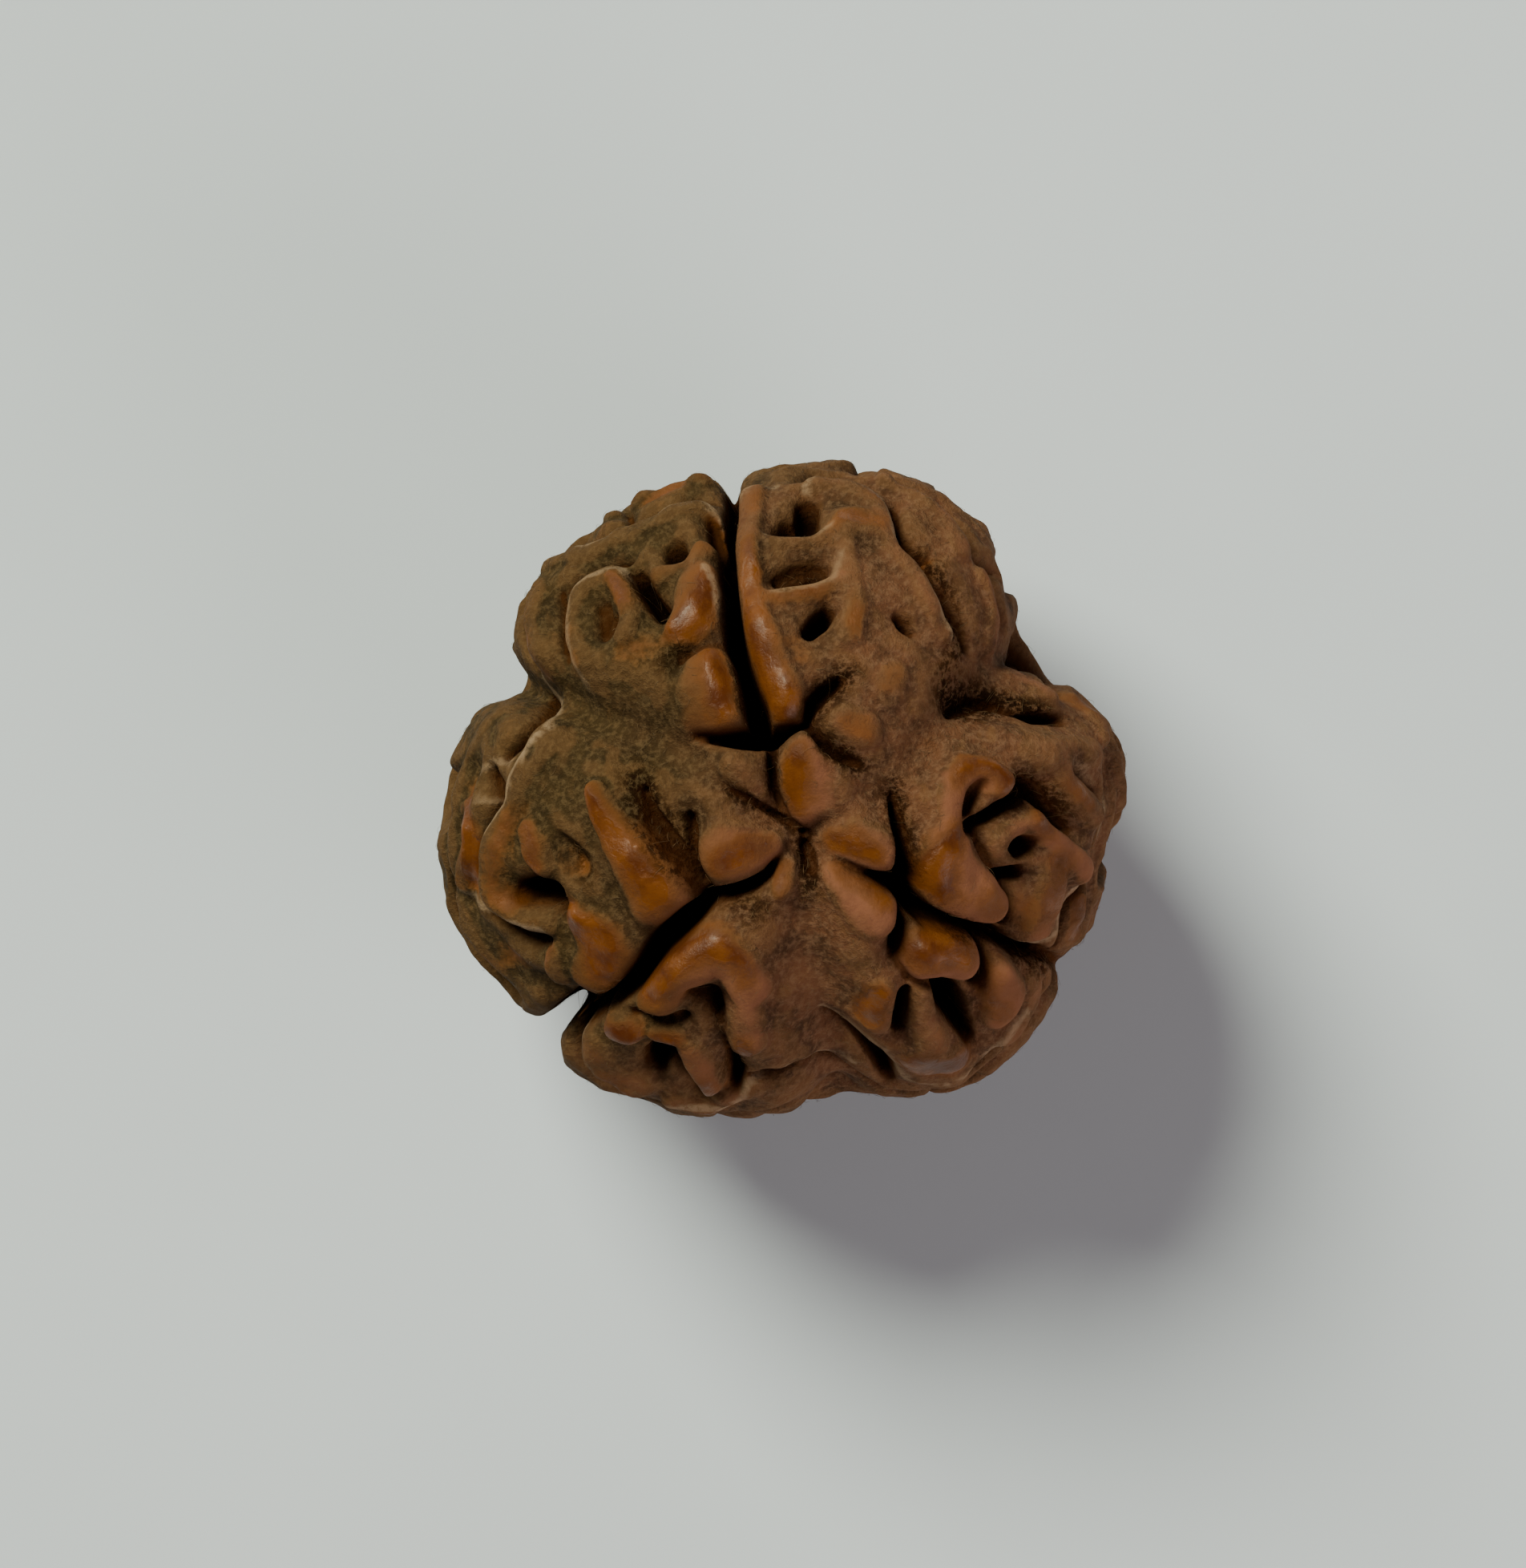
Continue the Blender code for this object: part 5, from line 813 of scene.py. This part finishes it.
def worn_nut_wood():
    """Dry nut wood, rubbed by fingers: satin orange-brown on the ridges, felted with dust between them.
    Painted shade darkens the cuts, painted fill light makes the right side lighter and redder, and painted
    highlight pales the rims.
    """
    material = bpy.data.materials.new("worn_nut_wood")
    material.use_nodes = True
    tree = material.node_tree
    shader = tree.nodes["Principled BSDF"]
    place = add(tree, "ShaderNodeTexCoord", {}).outputs["Object"]

    def field(name):
        return add(tree, "ShaderNodeAttribute", {}, attribute_name=name).outputs["Fac"]

    def spread(value, low, high, to_low=0.0, to_high=1.0):
        sockets = {0: value, 1: low, 2: high, 3: to_low, 4: to_high}
        return add(tree, "ShaderNodeMapRange", sockets, interpolation_type="SMOOTHSTEP").outputs[0]

    def noise(pitch_mm, detail, rough=0.6):
        sockets = {"Vector": place, "Scale": 1 / (pitch_mm * MM), "Detail": detail, "Roughness": rough}
        return add(tree, "ShaderNodeTexNoise", sockets).outputs["Fac"]

    def maths(operation, *values):
        return add(tree, "ShaderNodeMath", dict(enumerate(values)), operation=operation).outputs[0]

    def mixed(share, a, b):
        return add(tree, "ShaderNodeMix", {0: share, 6: a, 7: b}, data_type="RGBA").outputs[2]

    mottle = noise(1.1, 6)
    grain = noise(0.22, 5, 0.7)
    patch = noise(5, 2)
    # Painted fill light: towards the right and lower side every tone is painted lighter and redder,
    # standing in for the fill's brightness and tint.
    across = add(tree, "ShaderNodeSeparateXYZ", {0: place})
    east = maths("MULTIPLY_ADD", across.outputs["Y"], -0.25, across.outputs["X"])
    painted_fill_side = spread(maths("MULTIPLY_ADD", patch, 12 * MM, east), 0, 9 * MM)
    dark = mixed(painted_fill_side, linear("#2c200f"), linear("#3f2818"))
    pale = mixed(painted_fill_side, linear("#382914"), linear("#5f3c26"))
    dust = mixed(painted_fill_side, linear("#634d30"), linear("#7b5a40"))
    dusty = mixed(spread(mottle, 0.32, 0.6), dark, pale)
    dusty = mixed(maths("MULTIPLY", spread(grain, 0.42, 0.66), 0.5), dusty, dust)
    # Convex edges painted paler tan: part wear, part painted edge highlight.
    high = spread(field("high"), 0.01, 0.08)
    dusty = mixed(maths("MULTIPLY", high, 0.35), dusty, linear("#6b4a2b"))
    tooth = maths("MULTIPLY_ADD", maths("SUBTRACT", mottle, 0.5), 0.3, field("raised"))
    tooth = spread(tooth, 0.2, 0.45, 0, 0.85)
    flank = mixed(painted_fill_side, linear("#593618"), linear("#7a4c34"))
    flank = mixed(spread(mottle, 0.35, 0.65, 0.3, 0), flank, linear("#4a2812"))
    colour = mixed(tooth, dusty, flank)
    bare = maths("MULTIPLY_ADD", maths("SUBTRACT", mottle, 0.5), 1.1, field("rubbed"))
    bare = maths("MULTIPLY_ADD", maths("SUBTRACT", grain, 0.5), 0.5, bare)
    colour = mixed(spread(bare, 0.05, 0.6, 0, 0.7), colour, linear("#5e3612"))
    waxed = mixed(spread(mottle, 0.35, 0.65), linear("#431c04"), linear("#63340a"))
    polish = spread(bare, 0.2, 0.8)
    colour = mixed(polish, colour, waxed)
    # Pale rim lines: part wear, part painted highlight along the rims.
    rim = maths("MULTIPLY", field("pale"), spread(maths("MULTIPLY_ADD", mottle, 0.6, grain), 0.55, 0.8))
    colour = mixed(rim, colour, linear("#987d5f"))
    # Dark of the grooves and pits: part dirt among the fibres, part painted shade.
    dirt_and_painted_shade = maths("MULTIPLY", field("shaggy"), spread(maths("MULTIPLY_ADD", mottle, 0.5, grain), 0.88, 0.64))
    colour = mixed(spread(dirt_and_painted_shade, 0.0, 0.8), colour, linear("#22140a"))
    # Painted shade: the deeper a place lies in a cut, the darker it is painted, through warm brown to
    # black.
    hollow = field("hollow")
    colour = mixed(spread(hollow, 0.15, 0.6, 0, 0.7), colour, linear("#3c1e0a"))
    colour = mixed(spread(hollow, 0.6, 1.3, 0, 0.9), colour, linear("#140904"))
    colour = mixed(spread(hollow, 1.3, 2.2), colour, linear("#030100"))
    tree.links.new(colour, shader.inputs["Base Color"])
    rough = maths("MULTIPLY_ADD", polish, -0.45, 0.85)
    tree.links.new(rough, shader.inputs["Roughness"])
    matt = maths("MULTIPLY_ADD", maths("MAXIMUM", polish, tooth), -0.8, 1.0)
    matt = maths("MULTIPLY_ADD", field("shaggy"), 1.5, matt)
    height = maths("MULTIPLY", maths("MULTIPLY_ADD", mottle, 0.7, grain), matt)
    height = maths("MULTIPLY_ADD", mottle, 0.4, height)
    bump = add(tree, "ShaderNodeBump", {"Strength": 0.9, "Distance": 0.00016, "Height": height})
    tree.links.new(bump.outputs[0], shader.inputs["Normal"])
    dry = maths("MULTIPLY", spread(hollow, 0.2, 0.6, 1.0, 0.0), spread(dirt_and_painted_shade, 0.0, 0.4, 1.0, 0.0))
    shine = maths("MULTIPLY", dry, maths("MULTIPLY_ADD", polish, 0.17, 0.08))
    tree.links.new(shine, shader.inputs["Specular IOR Level"])
    shader.inputs["Specular Tint"].default_value = linear("#fff0dc")
    return material


def two_tone(name, pitch_mm, roughness, from_hex, to_hex):
    """Matt material that drifts between two colours at one pitch."""
    material = bpy.data.materials.new(name)
    material.use_nodes = True
    tree = material.node_tree
    shader = tree.nodes["Principled BSDF"]
    place = add(tree, "ShaderNodeTexCoord", {}).outputs["Object"]
    drift = add(tree, "ShaderNodeTexNoise", {"Vector": place, "Scale": 1 / (pitch_mm * MM), "Detail": 3})
    share = add(tree, "ShaderNodeMapRange", {0: drift.outputs["Fac"], 1: 0.35, 2: 0.65}).outputs[0]
    tones = {0: share, 6: linear(from_hex), 7: linear(to_hex)}
    colour = add(tree, "ShaderNodeMix", tones, data_type="RGBA")
    tree.links.new(colour.outputs[2], shader.inputs["Base Color"])
    shader.inputs["Roughness"].default_value = roughness
    shader.inputs["Specular IOR Level"].default_value = 0.25
    return material


def matt_card():
    """Pale card, faintly uneven, that takes the bead's soft shadow without a shine."""
    return two_tone("matt_card", 25, 0.75, "#c4c8c6", "#c8ccca")


def husk_fibre():
    """Dry brown husk fibre, lighter and darker along its length."""
    return two_tone("husk_fibre", 0.4, 0.7, "#4c351b", "#705433")


def dust_felt():
    """Grey-brown dust hair that softens the outline of the wood."""
    return two_tone("dust_felt", 0.5, 0.9, "#4c3b24", "#685135")


def floor():
    deselect_all()
    bpy.ops.mesh.primitive_plane_add(size=3)
    made = bpy.context.object
    made.name = "floor"
    made.data.materials.append(matt_card())


def soft_light(name, azimuth, elevation, distance, size, power, colour, gloss=1.0):
    """A round soft box aimed at the bead; gloss is how much of it the polished places mirror."""
    deselect_all()
    level = distance * math.cos(math.radians(elevation))
    place = Vector((
        level * math.cos(math.radians(azimuth)),
        level * math.sin(math.radians(azimuth)),
        distance * math.sin(math.radians(elevation)),
    ))
    bpy.ops.object.light_add(type="AREA", location=place)
    lamp = bpy.context.object
    lamp.name = name
    lamp.data.shape = "DISK"
    lamp.data.size = size
    lamp.data.energy = power
    lamp.data.color = linear(colour)[:3]
    lamp.data.specular_factor = gloss
    lamp.rotation_euler = place.to_track_quat("Z", "Y").to_euler()


def lights():
    """A window high at the upper left, and a weak fill low at the lower right."""
    world = bpy.data.worlds.new("pale_room")
    world.use_nodes = True
    back = world.node_tree.nodes["Background"]
    back.inputs["Color"].default_value = linear("#f0e4f2")
    back.inputs["Strength"].default_value = ROOM_STRENGTH
    bpy.context.scene.world = world
    soft_light("window", *WINDOW, "#f8fff4")
    soft_light("fill", *FILL, "#fff8ff", gloss=0.15)


def camera(shift):
    """Straight above, placed and zoomed so that the bead fills the frame as in the photo."""
    settings = bpy.data.cameras.new("camera")
    settings.sensor_fit = "VERTICAL"
    settings.sensor_width = settings.sensor_height = SENSOR
    settings.lens = SENSOR * (CAMERA_HEIGHT - FOCUS_HEIGHT) / (PHOTO_HEIGHT / PIXELS_PER_MM)
    looker = bpy.data.objects.new("camera", settings)
    bpy.context.collection.objects.link(looker)
    looker.location = Vector((PHOTO_MIDDLE[0] + shift[0], PHOTO_MIDDLE[1] + shift[1], CAMERA_HEIGHT)) * MM
    bpy.context.scene.camera = looker


def main():
    bead, shift = fine_bead()
    bead.data.materials.append(worn_nut_wood())
    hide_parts("bead")
    threads = [husk_fibres(shift), side_fibres(shift), fuzz(shift)]
    husk = husk_fibre()
    for piece, material in zip(threads, (husk, husk, dust_felt())):
        piece.data.materials.append(material)
    for piece in (bead, *threads):
        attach(piece, "root")
    floor()
    lights()
    camera(shift)


main()
